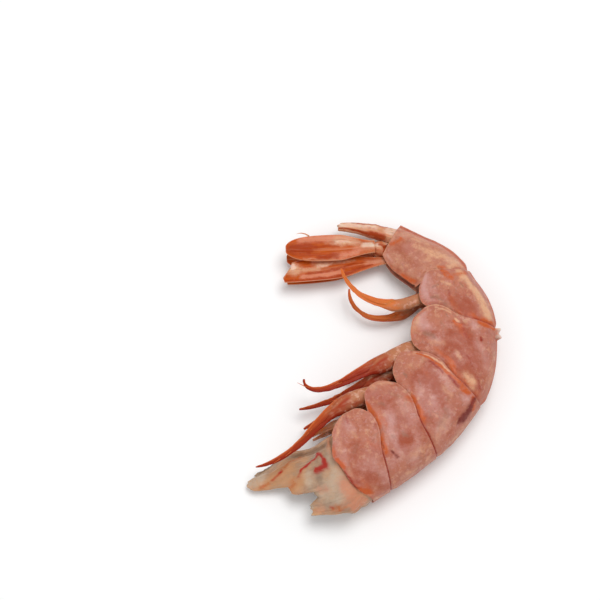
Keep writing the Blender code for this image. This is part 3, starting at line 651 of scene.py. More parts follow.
def make_shell(number, sizes, material):
    """Shell `number`, from 0 at the neck: a thin plate whose front is tucked under the plate before it."""
    profile = flank_columns()[None, :]
    edge, rear = joint_edge(number, profile), joint_edge(number + 1, profile)
    front = edge - (OVERLAP if number else 0.0)
    s = front + (rear - front) * eased(SHELL_ROWS)[:, None]
    seen, rear_gap, span = s - edge, rear - s, rear - edge
    tuck, thickness = sizes.tuck / MM, sizes.thickness / MM
    lift = smooth((seen + 0.4) / 2.1) if number else np.ones_like(s)
    ragged = 1 + 0.012 * grain(stacked(s, np.sign(profile), 0.0), 2.1)
    cut = SKIRT_NOTCH * np.where(seen < span / 2, FRONT_NOTCH[number], 1.0)
    notch = 1 - cut * np.minimum(np.abs(2 * seen / span - 1), 1.1) ** 2.6
    hem = along(SKIRT_DROP, s) * SKIRT_SHARE[number] * notch
    rise, side = shell_section(s, profile, tuck * (1 - lift), hem * ragged, KEEL[number] * lift)
    outer = place(s, rise, side)
    normal = grid_normals(outer, place(s, 0 * s, 0 * s))
    around = np.abs(profile) + 0 * s
    down = arch_and_down(profile)[1]
    hem_gap = hem * (1 - down) + 12.0 * np.clip(1 - around / ARCH_SHARE, 0.0, 1.0)

    relief = layered(outer, SHELL_LUMPS) * smooth(rear_gap / 1.8) * (smooth(seen / 2.0) if number else 1.0)
    folds = grain(stacked(seen, profile * 6.0, 0.0), (0.55, 2.6, 1.0))
    folds = folds * bell(seen - 1.6, 1.5) * smooth(around * 3 - 0.5)
    bead = sizes.rim_bead / MM
    rims = bell(rear_gap - 0.30, 0.24) - 0.5 * bell(rear_gap - 0.95, 0.4) + 0.5 * bell(hem_gap - 0.3, 0.25)
    relief = (relief + 0.05 * folds) * sizes.relief + bead * rims
    hinge = bell(np.hypot((around - 0.46) * 22.0, seen - 0.6), 0.85) if number else 0 * s
    relief = relief + HINGE_HEIGHT * hinge
    outer = outer + normal * relief[..., None]
    chip = 0 * s
    if number == CHIPPED_PLATE:
        torn = grain(stacked(profile * 60, s * 1.2, 0.0), 1.3)
        chip = smooth(1.2 - np.abs(profile - CHIP_MIDDLE) / CHIP_HALF_WIDTH + 0.9 * torn)
        chip = chip * smooth((CHIP_LENGTH - rear_gap) / 0.9 + 0.8 * torn)
        outer = outer + normal * (CHIP_HEIGHT * chip * (1 + 0.5 * torn))[..., None]
    rim = np.minimum(np.minimum(rear_gap, hem_gap), s - front)
    thick = thickness * np.sqrt(np.clip(1 - (1 - np.clip(rim / 0.45, 0.02, 1.0)) ** 2, 0.03, 1.0))
    inner = outer - normal * thick[..., None]
    outer[..., 2] = np.maximum(outer[..., 2], 0.0)
    inner[..., 2] = np.maximum(inner[..., 2], thick)

    upper = smooth(normal[..., 2] * 1.6 + 0.45)
    patchy = 0.5 + 0.5 * grain(outer + 11, 2.2)
    red_line, orange_line = edge_line(number, seen, around, patchy)
    flank = smooth((around - 0.42) * 5)
    painted = all_marks(outer, stacked(seen, profile * ROUND_MM), PLATE_MARKS[number], upper)
    band = back_band(number, profile, patchy) + 0 * s
    painted["red"] = np.maximum.reduce([painted["red"], red_line, 0.65 * band ** 2])
    painted["orange"] = np.maximum.reduce([
        painted["orange"], orange_line, 0.7 * hinge * patchy, band,
        0.35 * bell(hem_gap - 0.2, 0.5) * patchy, 0.3 * bell(rear_gap - 0.8, 0.5) * flank * patchy,
    ])
    # Cream where a plate faces up is partly a painted highlight; cream at its rear rim and hem is the plate's
    # pale edge.
    painted["cream"] = np.maximum.reduce([
        painted["cream"], PLATE_PALENESS_AND_HIGHLIGHT[number] * upper * (0.5 + patchy),
        bell(rear_gap, 0.4) * RIM_CREAM[number] * (0.3 + 0.7 * flank * upper), 0.45 * bell(hem_gap, 0.22),
    ])
    painted["chip"] = chip
    painted["flow"] = stacked(s, profile * ROUND_MM, 0.0)
    both = {key: np.concatenate([v, v[:, ::-1]], axis=1) for key, v in painted.items()}
    rings = np.concatenate([outer, inner[:, ::-1]], axis=1)
    return write_piece(f"shell_plate_{number + 1}", rings, slab_faces(*outer.shape[:2]), material,
                       f"shell_{number + 1}", both)


def edge_line(number, seen, around, patchy):
    """Red and orange at a plate's front edge, where skin shows from under the plate before it. The thin red
    line is partly painted shadow under that plate's rim.
    """
    start, end, red, orange, width = EDGE_LINES[number]
    shown = smooth((around - start) / 0.08) * (1 - smooth((around - end) / 0.12))
    thin = bell(seen - 0.2, width)
    red_line = thin * (red * shown * (0.55 + 0.45 * patchy) + (0.22 if number else 0.0))
    return red_line, bell(seen - 0.5, 2.2 * width) * orange * shown * (0.35 + 0.65 * patchy)


def back_band(number, profile, patchy):
    """The orange-red band along the back, broad on the last plate and a thin line before it."""
    middle, width, most = BACK_BANDS[number]
    return most * bell(profile - middle, width) * (0.6 + 0.4 * patchy)


# ---- Flesh ----

def flesh_section(s, angle, scale):
    """(rise, side) of the flesh: rounder over the back, boxier over the belly, thin at the torn end."""
    front_edge = joint_edge(0, 1 - np.abs(1 - angle / math.pi))
    covered = smooth((s - front_edge) / 1.2 + 0.1)
    inset = FLESH_INSET * covered + 0.5 * (1 - covered)
    ahead = smooth(-s / 22.0)
    up = along(BACK_RISE, s) - inset + NECK_BULGE * smooth(-s / 3.0)
    waves = 1 + BELLY_WAVE * np.cos(2 * math.pi * s / BELLY_WAVE_LENGTH)
    low = along(BELLY_DROP, s) * waves * (1 + NECK_WIDENING * smooth(-s / 9.0))
    wide = (along(HALF_WIDTH, s) - inset) * (1 - NECK_FLATTENING * ahead)
    cos, sin = np.cos(angle), np.sin(angle)
    square = np.where(cos < 0, 0.72, 1.0)
    rise = np.where(cos < 0, -low, up) * np.abs(cos) ** square * scale
    sag = NECK_SAG * smooth(-s / 10.0) * (1 - cos) / 2
    return rise, wide * np.sign(sin) * np.abs(sin) ** square * scale - sag


def make_flesh(sizes, material):
    """One closed body from the floor of the torn neck over its lip to the root of the fan."""
    angle = (np.arange(FLESH_SIDES) * 2 * math.pi / FLESH_SIDES)[None, :]
    turns, reaches = np.asarray(NECK_TEAR).T
    lanes = stacked(np.cos(angle) * 9, np.sin(angle) * 9, 0.0)
    reach = np.interp(angle, np.radians(turns), reaches) + layered(lanes, NECK_RAGS)
    hollow_share, hollow_depth = np.asarray(NECK_HOLLOW).T
    inside = np.linspace(hollow_share[0], 1.0, HOLLOW_ROWS + 1)[:-1, None]
    s_inside = -reach * (0.35 + 0.65 * inside) + np.interp(inside, hollow_share, hollow_depth)
    outside = eased(NECK_ROWS)[::-1][:, None]
    s_outside = -reach * outside + NECK_END * (1 - outside)
    rear = JOINTS[-1] - TAIL_MOUTH
    back = np.linspace(NECK_END, rear, BODY_ROWS + 1)[1:, None] + 0 * angle
    close = np.array([[rear + 0.6], [rear + 0.9]]) + 0 * angle
    s = np.concatenate([s_inside, s_outside, back, close])
    scale = np.concatenate([0.84 * inside, 1 - 0.16 * outside ** 3, np.ones((len(back), 1)), [[0.93], [0.7]]])
    points = place(s, *flesh_section(s, angle, scale))
    normal = grid_normals(points, place(s, 0 * s, 0 * s))
    rest = np.zeros((len(back) + 2, 1))
    lip = np.concatenate([smooth((inside - 0.6) / 0.4), smooth((outside - 0.85) / 0.15), rest]) + 0 * s
    hollow = np.concatenate([1 - smooth(inside / 0.9), 0 * outside, rest]) + 0 * s
    inner_rows = np.arange(len(s))[:, None] < len(inside)
    fibres = layered(stacked(s / 7.0, np.cos(angle) * 9, np.sin(angle) * 9), FLESH_FIBRES)
    lumps = layered(points, FLESH_LUMPS)
    ahead_of_plate = joint_edge(0, 1 - np.abs(1 - angle / math.pi)) - s
    bare = smooth(ahead_of_plate / 2.0)
    relief = sizes.relief * (0.26 * lumps + 0.12 * fibres) * bare
    points = points + normal * np.where(inner_rows, 0.4, 1.0)[..., None] * relief[..., None]
    floor = NECK_FLOOR + (FLESH_INSET - NECK_FLOOR) * smooth((s + 2.5) / 4.0)
    floor = floor + np.where(inner_rows, 1.1 * (1 - lip), 0.0)
    points[..., 2] = np.maximum(points[..., 2], floor)
    upper = smooth(normal[..., 2] * 1.6 + 0.5)
    painted = all_marks(points, stacked(-s, np.degrees(angle)), NECK_MARKS, upper, (1.0, DEGREE_MM))
    flaps = 0.5 * painted["tan"] + 0.35 * painted["milky"] + 0.3 * painted["red"] - 0.6 * painted["grey"]
    points = points + normal * (sizes.relief * flaps * bare)[..., None]
    points[..., 2] = np.maximum(points[..., 2], floor)
    # Grey inside the neck's hollow is painted shade.
    painted["grey"] = np.maximum(painted["grey"], 0.8 * hollow)
    painted["skin"] = np.maximum(painted["skin"], 0.5 * bell(ahead_of_plate, 1.0))
    painted["lip"] = lip
    painted["flow"] = stacked(s, angle * 9.0, 0.0)
    painted = {key: ends_too(v) for key, v in painted.items()}
    return write_piece("flesh_body", with_ends(points), tube_faces(len(s), FLESH_SIDES), material,
                       "flesh", painted)


# ---- Limbs and fan ----

def path_points(start, turn_start, turn, onset, length, end_height, count, lift=0.0, sway=0.0):
    """A path of given length whose heading turns, later for a high `onset`, and sways aside in mid length."""
    share = np.linspace(0.0, 1.0, count)
    middle = (share[:-1] + share[1:]) / 2
    angle = np.radians(turn_start + turn * middle ** onset + sway * np.sin(math.pi * middle))
    step = length / (count - 1)
    x = start[0] + np.concatenate([[0.0], np.cumsum(np.cos(angle) * step)])
    y = start[1] + np.concatenate([[0.0], np.cumsum(np.sin(angle) * step)])
    z = start[2] + (end_height - start[2]) * smooth(share) + lift * np.sin(math.pi * share)
    return np.stack([x, y, z], axis=1)


def ribbon(path, width, depth, sides, lean=0.0, ridges=None, curl=0.0):
    """Rings along a path, wider than deep: `ridges` raise both faces, `curl` lifts the two edges."""
    ahead = np.gradient(path, axis=0)
    ahead /= np.linalg.norm(ahead, axis=1)[:, None]
    across = np.cross([0.0, 0.0, 1.0], ahead)
    across /= np.linalg.norm(across, axis=1)[:, None] + 1e-9
    above = np.cross(ahead, across)
    lean = np.radians(np.broadcast_to(lean, len(path)))[:, None]
    wide_way = across * np.cos(lean) + above * np.sin(lean)
    deep_way = above * np.cos(lean) - across * np.sin(lean)
    angle = np.arange(sides) * 2 * math.pi / sides
    x, up = np.cos(angle)[None, :], np.sin(angle)[None, :]
    width = np.broadcast_to(width, len(path))[:, None]
    depth = np.broadcast_to(depth, len(path))[:, None]
    curl = np.broadcast_to(curl, len(path))[:, None]
    height = depth * up + curl * width * x ** 2
    if ridges is not None:
        height = height + ridges * np.sign(up) * np.abs(up) ** 0.5
    rings = path[:, None] + wide_way[:, None] * (x * width)[..., None] + deep_way[:, None] * height[..., None]
    return rings, x + 0 * width, up + 0 * width


def strand(start, heading_deg, length, radius, rise, bend):
    """A fine tapering thread of matted bristles."""
    path = path_points(start, heading_deg, bend, 1.0, length, start[2] + rise, BRISTLE_ROWS)
    thick = radius * (1 - np.linspace(0.0, 1.0, BRISTLE_ROWS)) ** 0.7 + 0.03
    return ribbon(path, thick, thick, BRISTLE_SIDES)[0]


def lanes_across(sides):
    """Places across a tube, from 1 at one edge to -1 at the other, for each of its sides."""
    return np.cos(np.arange(sides) * 2 * math.pi / sides)[None, :]


def off_floor(rings):
    """Keeps a tube's points above the floor."""
    rings[..., 2] = np.maximum(rings[..., 2], FLOOR_GAP)
    return rings


class Bundle:
    """Collects tubes that make one piece."""

    def __init__(self):
        self.points, self.faces, self.values, self.count = [], [], {}, 0

    def add(self, rings, **values):
        rows, sides = rings.shape[:2]
        self.faces += tube_faces(rows, sides, self.count)
        self.points.append(with_ends(rings))
        self.count += rows * sides + 2
        for key, value in values.items():
            if np.ndim(value) < 2 or np.shape(value)[:2] != (rows, sides):
                value = np.broadcast_to(value, (rows, sides))
            self.values.setdefault(key, []).append(ends_too(value))

    def write(self, name, material, slot, stands_for):
        values = {key: np.concatenate(v) for key, v in self.values.items()}
        return write_piece(name, np.concatenate(self.points), self.faces, material, stands_for, values)


def beside(path, start, end, offset, count):
    """A path to the right of another, between two of its shares, that closes in on it towards its tip."""
    onward = np.linspace(0.0, 1.0, count)
    whole = np.linspace(0.0, 1.0, len(path))
    near = np.stack([np.interp(start + (end - start) * onward, whole, path[:, k]) for k in range(3)], axis=1)
    ahead = np.gradient(near, axis=0)
    across = np.stack([ahead[:, 1], -ahead[:, 0], 0 * onward], axis=1)
    across /= np.linalg.norm(across, axis=1)[:, None]
    return near + across * (offset * (1 - 0.6 * onward))[:, None] + (0.0, 0.0, SIDE_LIFT)


def make_leg(side_name, leg, sizes, material):
    """A stem from under the belly that runs on into a curved blade, with a shorter blade beside it."""
    onward, side, start_heading, turn, onset, sway, stem, blade, far_height, girth = leg
    number = int(onward) + 1
    s = float(np.interp(onward, np.arange(len(JOINTS)), JOINTS))
    drop = along(BELLY_DROP, s) * 1.06 + LEG_GAP + girth * STEM_RADIUS * STEM_BREADTH
    lateral = side * along(HALF_WIDTH, s)
    root = place(s, -drop, lateral)
    length = stem + blade
    rows, sides = LIMB_ROWS, LIMB_SIDES
    even_path = path = path_points(root, start_heading, turn, onset, length, far_height, rows, LEG_ARCH, sway)
    share = np.linspace(0.0, 1.0, rows)
    stem_share = stem / length
    past = np.clip((share - stem_share) / (1 - stem_share), 0.0, 1.0)
    slim = (1 - BLADE_SLIMMING * smooth(past * 5)) * (1 - past) ** 0.6
    width = girth * STEM_RADIUS * STEM_BREADTH * slim + TIP_RADIUS
    depth = width / STEM_BREADTH * (1 - 0.35 * smooth(past * 4))
    # The root bends from the belly into the stem.
    joined, bent = ROOT_JOIN, ROOT_ROWS
    bridge = np.linspace(0.0, 1.0, bent + 1)[:, None]
    belly, knee = place(s, 4.0 - drop, lateral * 0.85), place(s, 0.9 - drop, lateral)
    curve = (1 - bridge) ** 2 * belly + 2 * bridge * (1 - bridge) * knee + bridge ** 2 * path[joined]
    path = np.concatenate([curve[:-1], path[joined:]])
    width = np.concatenate([np.linspace(girth * STEM_RADIUS * 1.5, width[joined], bent), width[joined:]])
    depth = np.concatenate([np.linspace(girth * STEM_RADIUS * 1.1, depth[joined], bent), depth[joined:]])
    share = np.concatenate([np.linspace(-0.08, share[joined], bent), share[joined:]])
    past = np.clip((share - stem_share) / (1 - stem_share), 0.0, 1.0)
    lanes = lanes_across(sides)
    midrib = bell(lanes, 0.22) - 0.5 * bell(np.abs(lanes) - 0.5, 0.2)
    ridges = sizes.midrib / MM * smooth(past * 3)[:, None] * (1 - past[:, None]) * midrib
    rings, across, _ = ribbon(path, width, depth, sides, ridges=ridges, curl=0.22 * smooth(past * 3))
    rings = off_floor(lumpy(rings, (0.09, 1.6), (0.04, 0.6)))
    redness = LIMB_REDNESS[side_name][number - 1]
    bundle = Bundle()

    def paint(share_rows, across_grid, shift=0.0):
        flow = stacked(share_rows[:, None] * length, across_grid * 1.5, 0.0)
        onward_rows = share_rows[:, None] - stem_share - LIMB_TAN[number - 1]
        return {"onward": onward_rows + 0 * across_grid, "edge": across_grid,
                "redness": redness + shift, "flow": flow}

    bundle.add(rings, **paint(share, across))
    side_share = np.linspace(0.0, 1.0, SIDE_BLADE_ROWS)
    side_start, side_end = stem_share * 0.85, stem_share + SIDE_BLADE_SHARE * (1 - stem_share)
    side_path = beside(even_path, side_start, side_end, SIDE_OFFSET * girth, SIDE_BLADE_ROWS)
    side_slim = np.sqrt(np.clip(side_share / 0.15, 0.1, 1.0)) * (1 - side_share) ** 0.6
    side_width = girth * BLADE_RADIUS * side_slim + TIP_RADIUS
    side_ridges = sizes.midrib / MM * (1 - side_share[:, None]) * midrib
    side_rings, side_across, _ = ribbon(side_path, side_width, side_width * 0.5, sides, ridges=side_ridges,
                                        curl=0.2)
    side_rings = off_floor(lumpy(side_rings, (0.07, 1.4)))
    side_onward = side_start + side_share * (side_end - side_start)
    bundle.add(side_rings, **paint(side_onward, side_across, -0.2))
    add_bristles(bundle, (path, side_path), girth, redness, number * 10 + (1 if side > 0 else 2))
    return bundle.write(f"swimmeret_limb_{side_name}_{number}", material, "limb",
                        f"swimmeret_{side_name}_{number}")


def add_bristles(bundle, paths, girth, redness, seed):
    """A few fine threads that leave each of a limb's paths near its tip."""
    draw = np.random.default_rng(seed)
    for path in paths:
        for _ in range(BRISTLES):
            row = int(draw.uniform(0.55, 0.93) * (len(path) - 1))
            ahead = path[min(row + 1, len(path) - 1)] - path[row - 1]
            swing = draw.choice([-1, 1]) * draw.uniform(6, 20)
            thread = strand(path[row], math.degrees(math.atan2(ahead[1], ahead[0])) + swing,
                            draw.uniform(1.4, 3.0) * girth, BRISTLE_RADIUS, draw.uniform(-0.2, 0.3),
                            -swing * 0.9)
            bundle.add(off_floor(thread), onward=0.9, edge=-1.0, redness=redness + draw.uniform(-0.3, 0.3),
                       flow=np.zeros(thread.shape))


def blade_outline(share):
    """Half width of a fan blade along its length: a narrow root, widest past the middle, a rounded tip."""
    root = 0.45 + 0.58 * smooth(share / 0.4)
    tip = np.sqrt(1 - np.clip((share - 0.55) / 0.455, 0.0, 0.995) ** 2.6)
    return root * tip


def fan_paint(name, rings, rim, rib, flow, paleness):
    """Painted values of a piece of the fan: marks where it faces up, rims, ribs and paleness."""
    normal = grid_normals(rings, rings.mean(1, keepdims=True))
    upper = smooth(normal[..., 2] * 2.0 + 0.3)
    painted = all_marks(rings, flow[..., :2], FAN_MARKS.get(name, NO_FAN_MARKS), upper)
    painted["pale"] = np.maximum(painted["pale"], paleness)
    return {**painted, "rim": rim, "rib": rib, "flow": flow}


def make_blade(name, sizes, material):
    """One of the fan's four blades: thin, ribbed along its length, with a pale rim."""
    x, y, height, start_heading, turn, length, half_width, half_depth, lean, far_height, slant = BLADES[name]
    sides = BLADE_SIDES
    share = eased(BLADE_ROWS)
    # Points of the path are spaced evenly, so they are read off at the eased shares.
    even = path_points((x, y, height), start_heading, turn, 1.0, length, far_height, BLADE_STEPS)
    path = np.stack([np.interp(share, np.linspace(0, 1, BLADE_STEPS), even[:, k]) for k in range(3)], -1)
    ahead = (path[1] - path[0]) / np.linalg.norm(path[1] - path[0])
    path = path - ahead * ROOT_REACH * (1 - smooth(share[:, None] / 0.3))
    if slant:
        width = half_width * (0.32 + 0.74 * smooth(share / 0.5)) * (1 - 0.22 * share ** 6)
        width = width * np.clip((1 - share) / 0.012, 0.35, 1.0) ** 0.5
    else:
        width = half_width * blade_outline(share) + 0.25
    depth = half_depth * (1 - 0.35 * share)
    lanes = lanes_across(sides)
    along_blade = share[:, None]
    fade = smooth(along_blade / 0.15) * smooth((1.02 - along_blade) / 0.2)
    midrib = bell(lanes - 0.12, 0.10) - 0.5 * bell(np.abs(lanes - 0.12) - 0.24, 0.09)
    bent = lanes + 0.04 * grain(stacked(along_blade * 5, lanes, 0.0), 0.7)
    ribs = 0.5 * np.cos(bent * 30 + 0.8 * np.sin(along_blade * 7)) * smooth(1.2 - np.abs(lanes))
    rim = bell(np.minimum((1 - np.abs(lanes)) * width[:, None], (1 - along_blade) * length), 0.22)
    ridges = sizes.rib / MM * fade * (1.5 * midrib + ribs) + 0.04 * rim
    if slant:
        ridges = ridges - 0.10 * bell(along_blade - 0.86 - 0.05 * lanes, 0.010)
    rings, across, up = ribbon(path, width, depth, sides, lean, ridges, 0.05)
    shift = slant * half_width * across * (along_blade ** 3)
    if slant:
        shift = shift + 0.25 * grain(stacked(lanes * 3, 0.0, 0.0), 0.6) * along_blade ** 8
    rings = rings + shift[..., None] * direction(start_heading + turn)
    rings[..., 2] += 0.20 * grain(rings, 5.0) * smooth(along_blade * 2)
    rings = off_floor(rings)
    flow = stacked(along_blade * length, across * half_width, up)
    bundle = Bundle()
    paleness = 0.4 * (1 - smooth(along_blade / 0.35)) + 0 * across
    bundle.add(rings, **fan_paint(name, rings, rim, ribs + midrib, flow, paleness))
    if name == CURLED_BLADE:
        row = int(np.searchsorted(share, CURL_PLACE))
        thread = strand(rings[row, sides // 2], CURL_HEADING, CURL_LENGTH, CURL_RADIUS, 0.5, 65.0)
        bundle.add(thread, **fan_paint("", thread, 0.0, 0.0, np.zeros(thread.shape), 0.7))
    return bundle.write(name + "_blade", material, "fan", name)


def lumpy(rings, *layers):
    """Pushes a tube's surface in and out by random lumps, given as (height, cell) in millimetres."""
    outward = rings - rings.mean(1, keepdims=True)
    outward = outward / (np.linalg.norm(outward, axis=-1, keepdims=True) + 1e-9)
    lumps = sum(height * grain(rings + 9 * k, cell) for k, (height, cell) in enumerate(layers))
    return rings + outward * lumps[..., None]


def make_telson(material):
    """The spike over the fan: grooved along the top, keeled below, with a broken pale tip."""
    x, y, height, start_heading, turn, length, half_width, half_depth, lean, far_height, _ = BLADES["telson"]
    rows, sides = TELSON_ROWS, TELSON_SIDES
    share = np.linspace(0.0, 1.0, rows)
    path = path_points((x, y, height), start_heading, turn, 1.0, length, far_height, rows)
    width = half_width * 1.05 * (1 - 0.54 * share ** 1.4)
    depth = half_depth * (1 - 0.66 * share ** 1.1) * np.clip((1 - share) / 0.02, 0.3, 1.0) ** 0.5
    lanes = lanes_across(sides)
    groove = GROOVE_DEPTH * (bell(np.abs(lanes) - 0.42, 0.2) - bell(lanes, 0.2))
    groove = groove * smooth((1.1 - share[:, None]) / 0.5)
    rings, across, up = ribbon(path, width, depth, sides, lean, groove)
    torn = 0.8 * grain(stacked(lanes * 2, 0.0, 0.0), 0.45) * smooth(share[:, None] * 8 - 7)
    rings = lumpy(rings + torn[..., None] * direction(start_heading + turn), (0.12, 1.7), (0.05, 0.6))
    flow = stacked(share[:, None] * length, across * half_width, up)
    bundle = Bundle()
    bundle.add(rings, **fan_paint("telson", rings, 0.0, 0.3 * groove / GROOVE_DEPTH, flow, 0.65))
    return bundle.write("telson_spike", material, "fan", "telson")


def make_knuckle(side_name, material):
    """The stout joint that carries the two blades of one side, with two pale knobs at its far end."""
    x, y, height, far_height = KNUCKLES[side_name]
    rows, sides = KNUCKLE_ROWS, KNUCKLE_SIDES
    path = path_points((x, y, height), KNUCKLE_HEADING, KNUCKLE_TURN, 1.0, KNUCKLE_LENGTH, far_height, rows)
    share = np.linspace(-1.0, 1.0, rows)
    swell = (1 - (np.abs(share) * 0.985) ** 3.0) ** 0.5
    half_width, half_depth = KNUCKLE_HALF_SIZE
    lanes = lanes_across(sides)
    crease = -0.28 * bell(lanes + 0.25 * share[:, None] - 0.1, 0.13) * smooth(1.2 - np.abs(share[:, None]))
    knobs = 0.45 * bell(np.hypot((lanes - 0.5) * half_width, (share[:, None] - 0.45) * 3.2), 0.9)
    knobs = knobs + 0.35 * bell(np.hypot((lanes + 0.5) * half_width, (share[:, None] + 0.1) * 3.2), 0.8)
    rings, across, up = ribbon(path, half_width * swell, half_depth * swell, sides, ridges=crease + knobs)
    rings = off_floor(lumpy(rings, (0.16, 1.4), (0.06, 0.5)))
    flow = stacked((share[:, None] + 1) * KNUCKLE_LENGTH / 2, across * half_width, up)
    bundle = Bundle()
    bundle.add(rings, **fan_paint(f"knuckle_{side_name}", rings, 0.0, 3 * crease, flow, 0.4))
    return bundle.write(f"fan_knuckle_{side_name}", material, "fan", f"knuckle_{side_name}")


# ---- Materials ----

class Finish:
    """A material's nodes, wired as they are added."""

    def __init__(self, name):
        self.material = bpy.data.materials.new(name)
        self.material.use_nodes = True
        self.tree = self.material.node_tree
        self.shader = self.tree.nodes["Principled BSDF"]

    def node(self, kind, inputs=None, output=0, **settings):
        node = self.tree.nodes.new(kind)
        for key, value in settings.items():
            setattr(node, key, value)
        for key, value in (inputs or {}).items():
            if isinstance(value, bpy.types.NodeSocket):
                self.tree.links.new(value, node.inputs[key])
            else:
                node.inputs[key].default_value = value
        return node.outputs[output]

    def painted(self, name):
        return self.node("ShaderNodeAttribute", output=2, attribute_name=name)

    def flow(self):
        return self.node("ShaderNodeAttribute", output=1, attribute_name="flow")

    def place(self):
        return self.node("ShaderNodeTexCoord", output=3)

    def cloud(self, size, detail=3.0, roughness=0.55, distortion=0.0):
        """Noise whose patches are `size` metres across."""
        return self.node("ShaderNodeTexNoise", {"Vector": self.place(), "Scale": 1.0 / size, "Detail": detail,
                                                "Roughness": roughness, "Distortion": distortion})

    def stretched(self, long_way, cross_way, detail=3.0):
        """Noise drawn out along the flow of the piece, sizes in millimetres."""
        scaled = self.node("ShaderNodeMapping", {"Vector": self.flow(),
                                                 "Scale": (1.0 / long_way, 1.0 / cross_way, 1.0)})
        return self.node("ShaderNodeTexNoise", {"Vector": scaled, "Scale": 1.0, "Detail": detail})

    def sum(self, a, b, operation="ADD"):
        return self.node("ShaderNodeMath", {0: a, 1: b}, operation=operation)

    def step(self, value, low, high, most=1.0):
        return self.node("ShaderNodeMapRange", {0: value, 1: low, 2: high, 3: 0.0, 4: most},
                         interpolation_type="SMOOTHSTEP")

    def mix(self, share, a, b):
        a, b = (c if isinstance(c, bpy.types.NodeSocket) else (*c, 1.0) for c in (a, b))
        return self.node("ShaderNodeMix", {0: share, 6: a, 7: b}, output=2, data_type="RGBA")

    def times(self, a, b):
        return self.sum(a, b, "MULTIPLY")

    def lay(self, colour, tint, value, low, high, most=1.0):
        """Lays a tint over a colour where a value goes from low to high."""
        return self.mix(self.step(value, low, high, most), colour, tint)

    def stains(self, colour, tints, *rows):
        """Lays tints over a colour where the painted values of the same names are high, with uneven edges.

        Each row is a name, the size of its edge's patches, its most and how far its edge spreads.
        """
        for name, size, most, spread in rows:
            ragged = self.sum(self.cloud(size, 6.0, roughness=0.72), 0.5, "SUBTRACT")
            ragged = self.times(ragged, 2 * spread)
            value = self.times(self.painted(name), self.sum(ragged, 1.0))
            colour = self.lay(colour, getattr(tints, name), value, 0.06, 0.92, most)
        return colour

    def uneven(self, size, least):
        """A roughness from `least` to 0.2 above it, in patches of `size` metres."""
        return self.sum(self.step(self.cloud(size, 4.0), 0.3, 0.7, 0.2), least)

    def dots(self, colour, tint, spacing, radius, most):
        """Scattered colour cells."""
        cells = self.node("ShaderNodeTexVoronoi", {"Vector": self.place(), "Scale": 1.0 / spacing})
        share = self.step(cells, radius, radius * 0.4, most)
        share = self.times(share, self.step(self.cloud(spacing * 5), 0.45, 0.6))
        return self.mix(share, colour, tint)

    def veins(self, colour, tint, spacing, width, most):
        """A faint net of lines."""
        inputs = {"Vector": self.place(), "Scale": 0.7 / spacing, "Detail": 2.0}
        bent = self.node("ShaderNodeTexNoise", inputs, output=1)
        inputs = {0: 0.0016, 4: self.place(), 5: bent}
        warped = self.node("ShaderNodeMix", inputs, output=1, data_type="VECTOR")
        lines = self.node("ShaderNodeTexVoronoi", {"Vector": warped, "Scale": 1.0 / spacing},
                          feature="DISTANCE_TO_EDGE")
        share = self.step(lines, width, 0.0, most)
        share = self.times(share, self.step(self.cloud(spacing * 2.2), 0.45, 0.62))
        return self.mix(share, colour, tint)

    def bump(self, *layers):
        """Fine relief from (height socket, distance in metres) layers."""
        normal = None
        for height, distance in layers:
            inputs = {"Height": height, "Distance": distance, "Strength": 1.0}
            if normal is not None:
                inputs["Normal"] = normal
            normal = self.node("ShaderNodeBump", inputs)
        self.tree.links.new(normal, self.shader.inputs["Normal"])

    def close(self, colour, roughness, **constants):
        self.tree.links.new(colour, self.shader.inputs["Base Color"])
        self.tree.links.new(roughness, self.shader.inputs["Roughness"])
        names = {"flesh_depth": "Subsurface Weight", "radius": "Subsurface Radius",
                 "scale": "Subsurface Scale", "coat": "Coat Weight", "coat_roughness": "Coat Roughness",
                 "ior": "IOR", "specular": "Specular IOR Level"}
        for key, value in constants.items():
            self.shader.inputs[names[key]].default_value = value
        return self.material


def tint(red, green, blue):
    """Linear colour from screen values of 0 to 255."""
    return tuple(
        c / 255 / 12.92 if c <= 10 else ((c / 255 + 0.055) / 1.055) ** 2.4 for c in (red, green, blue)
    )


def colour_setting(label, note, default):
    return FloatVectorProperty(name=label, description=note, subtype="COLOR", size=3, min=0.0, max=1.0,
                               default=default)


def length_setting(label, note, default_mm):
    return FloatProperty(name=label, description=note, default=default_mm * MM, min=0.0, max=0.01,
                         unit="LENGTH", precision=5)


def relief_setting(note):
    return FloatProperty(name="Relief", description=note, default=1.0, min=0.0, max=3.0, subtype="FACTOR")


class ShrimpShellSettings(bpy.types.PropertyGroup):
    thickness: length_setting("Thickness", "Thickness of a plate away from its rims", 0.30)
    tuck: length_setting("Tuck", "How far a plate lies below the one before it at the joint", 0.36)
    rim_bead: length_setting("Rim bead", "Height of the bead along a plate's rear rim", 0.035)
    relief: relief_setting("Strength of the plates' lumps and folds")
    salmon: colour_setting("Salmon", "Main colour of the plates", tint(182, 112, 88))
    rose: colour_setting("Rose", "Cooler patches of the plates", tint(176, 106, 90))
    mauve: colour_setting("Mauve", "Pale violet patches where the plate is thin", tint(202, 152, 144))
    # Dusky also paints shade along the last plate's hem, and cream the highlights on the last two plates.
    dusky: colour_setting("Dusky red", "Darker patches seen through the plate", tint(160, 74, 46))
    cream: colour_setting("Cream", "Pale rims, stripes and specks", tint(218, 166, 130))
    orange: colour_setting("Orange", "Stains at the hinges, hems and back", tint(190, 86, 34))
    red: colour_setting("Red", "Thin lines at the joints", tint(146, 40, 20))
    maroon: colour_setting("Maroon", "Bruise inside the back rim", tint(116, 38, 28))
    grey: colour_setting("Grey", "Shaded places seen through the plate", tint(148, 102, 82))
    chip: colour_setting("Chip", "Broken white flake on the back", tint(232, 205, 192))


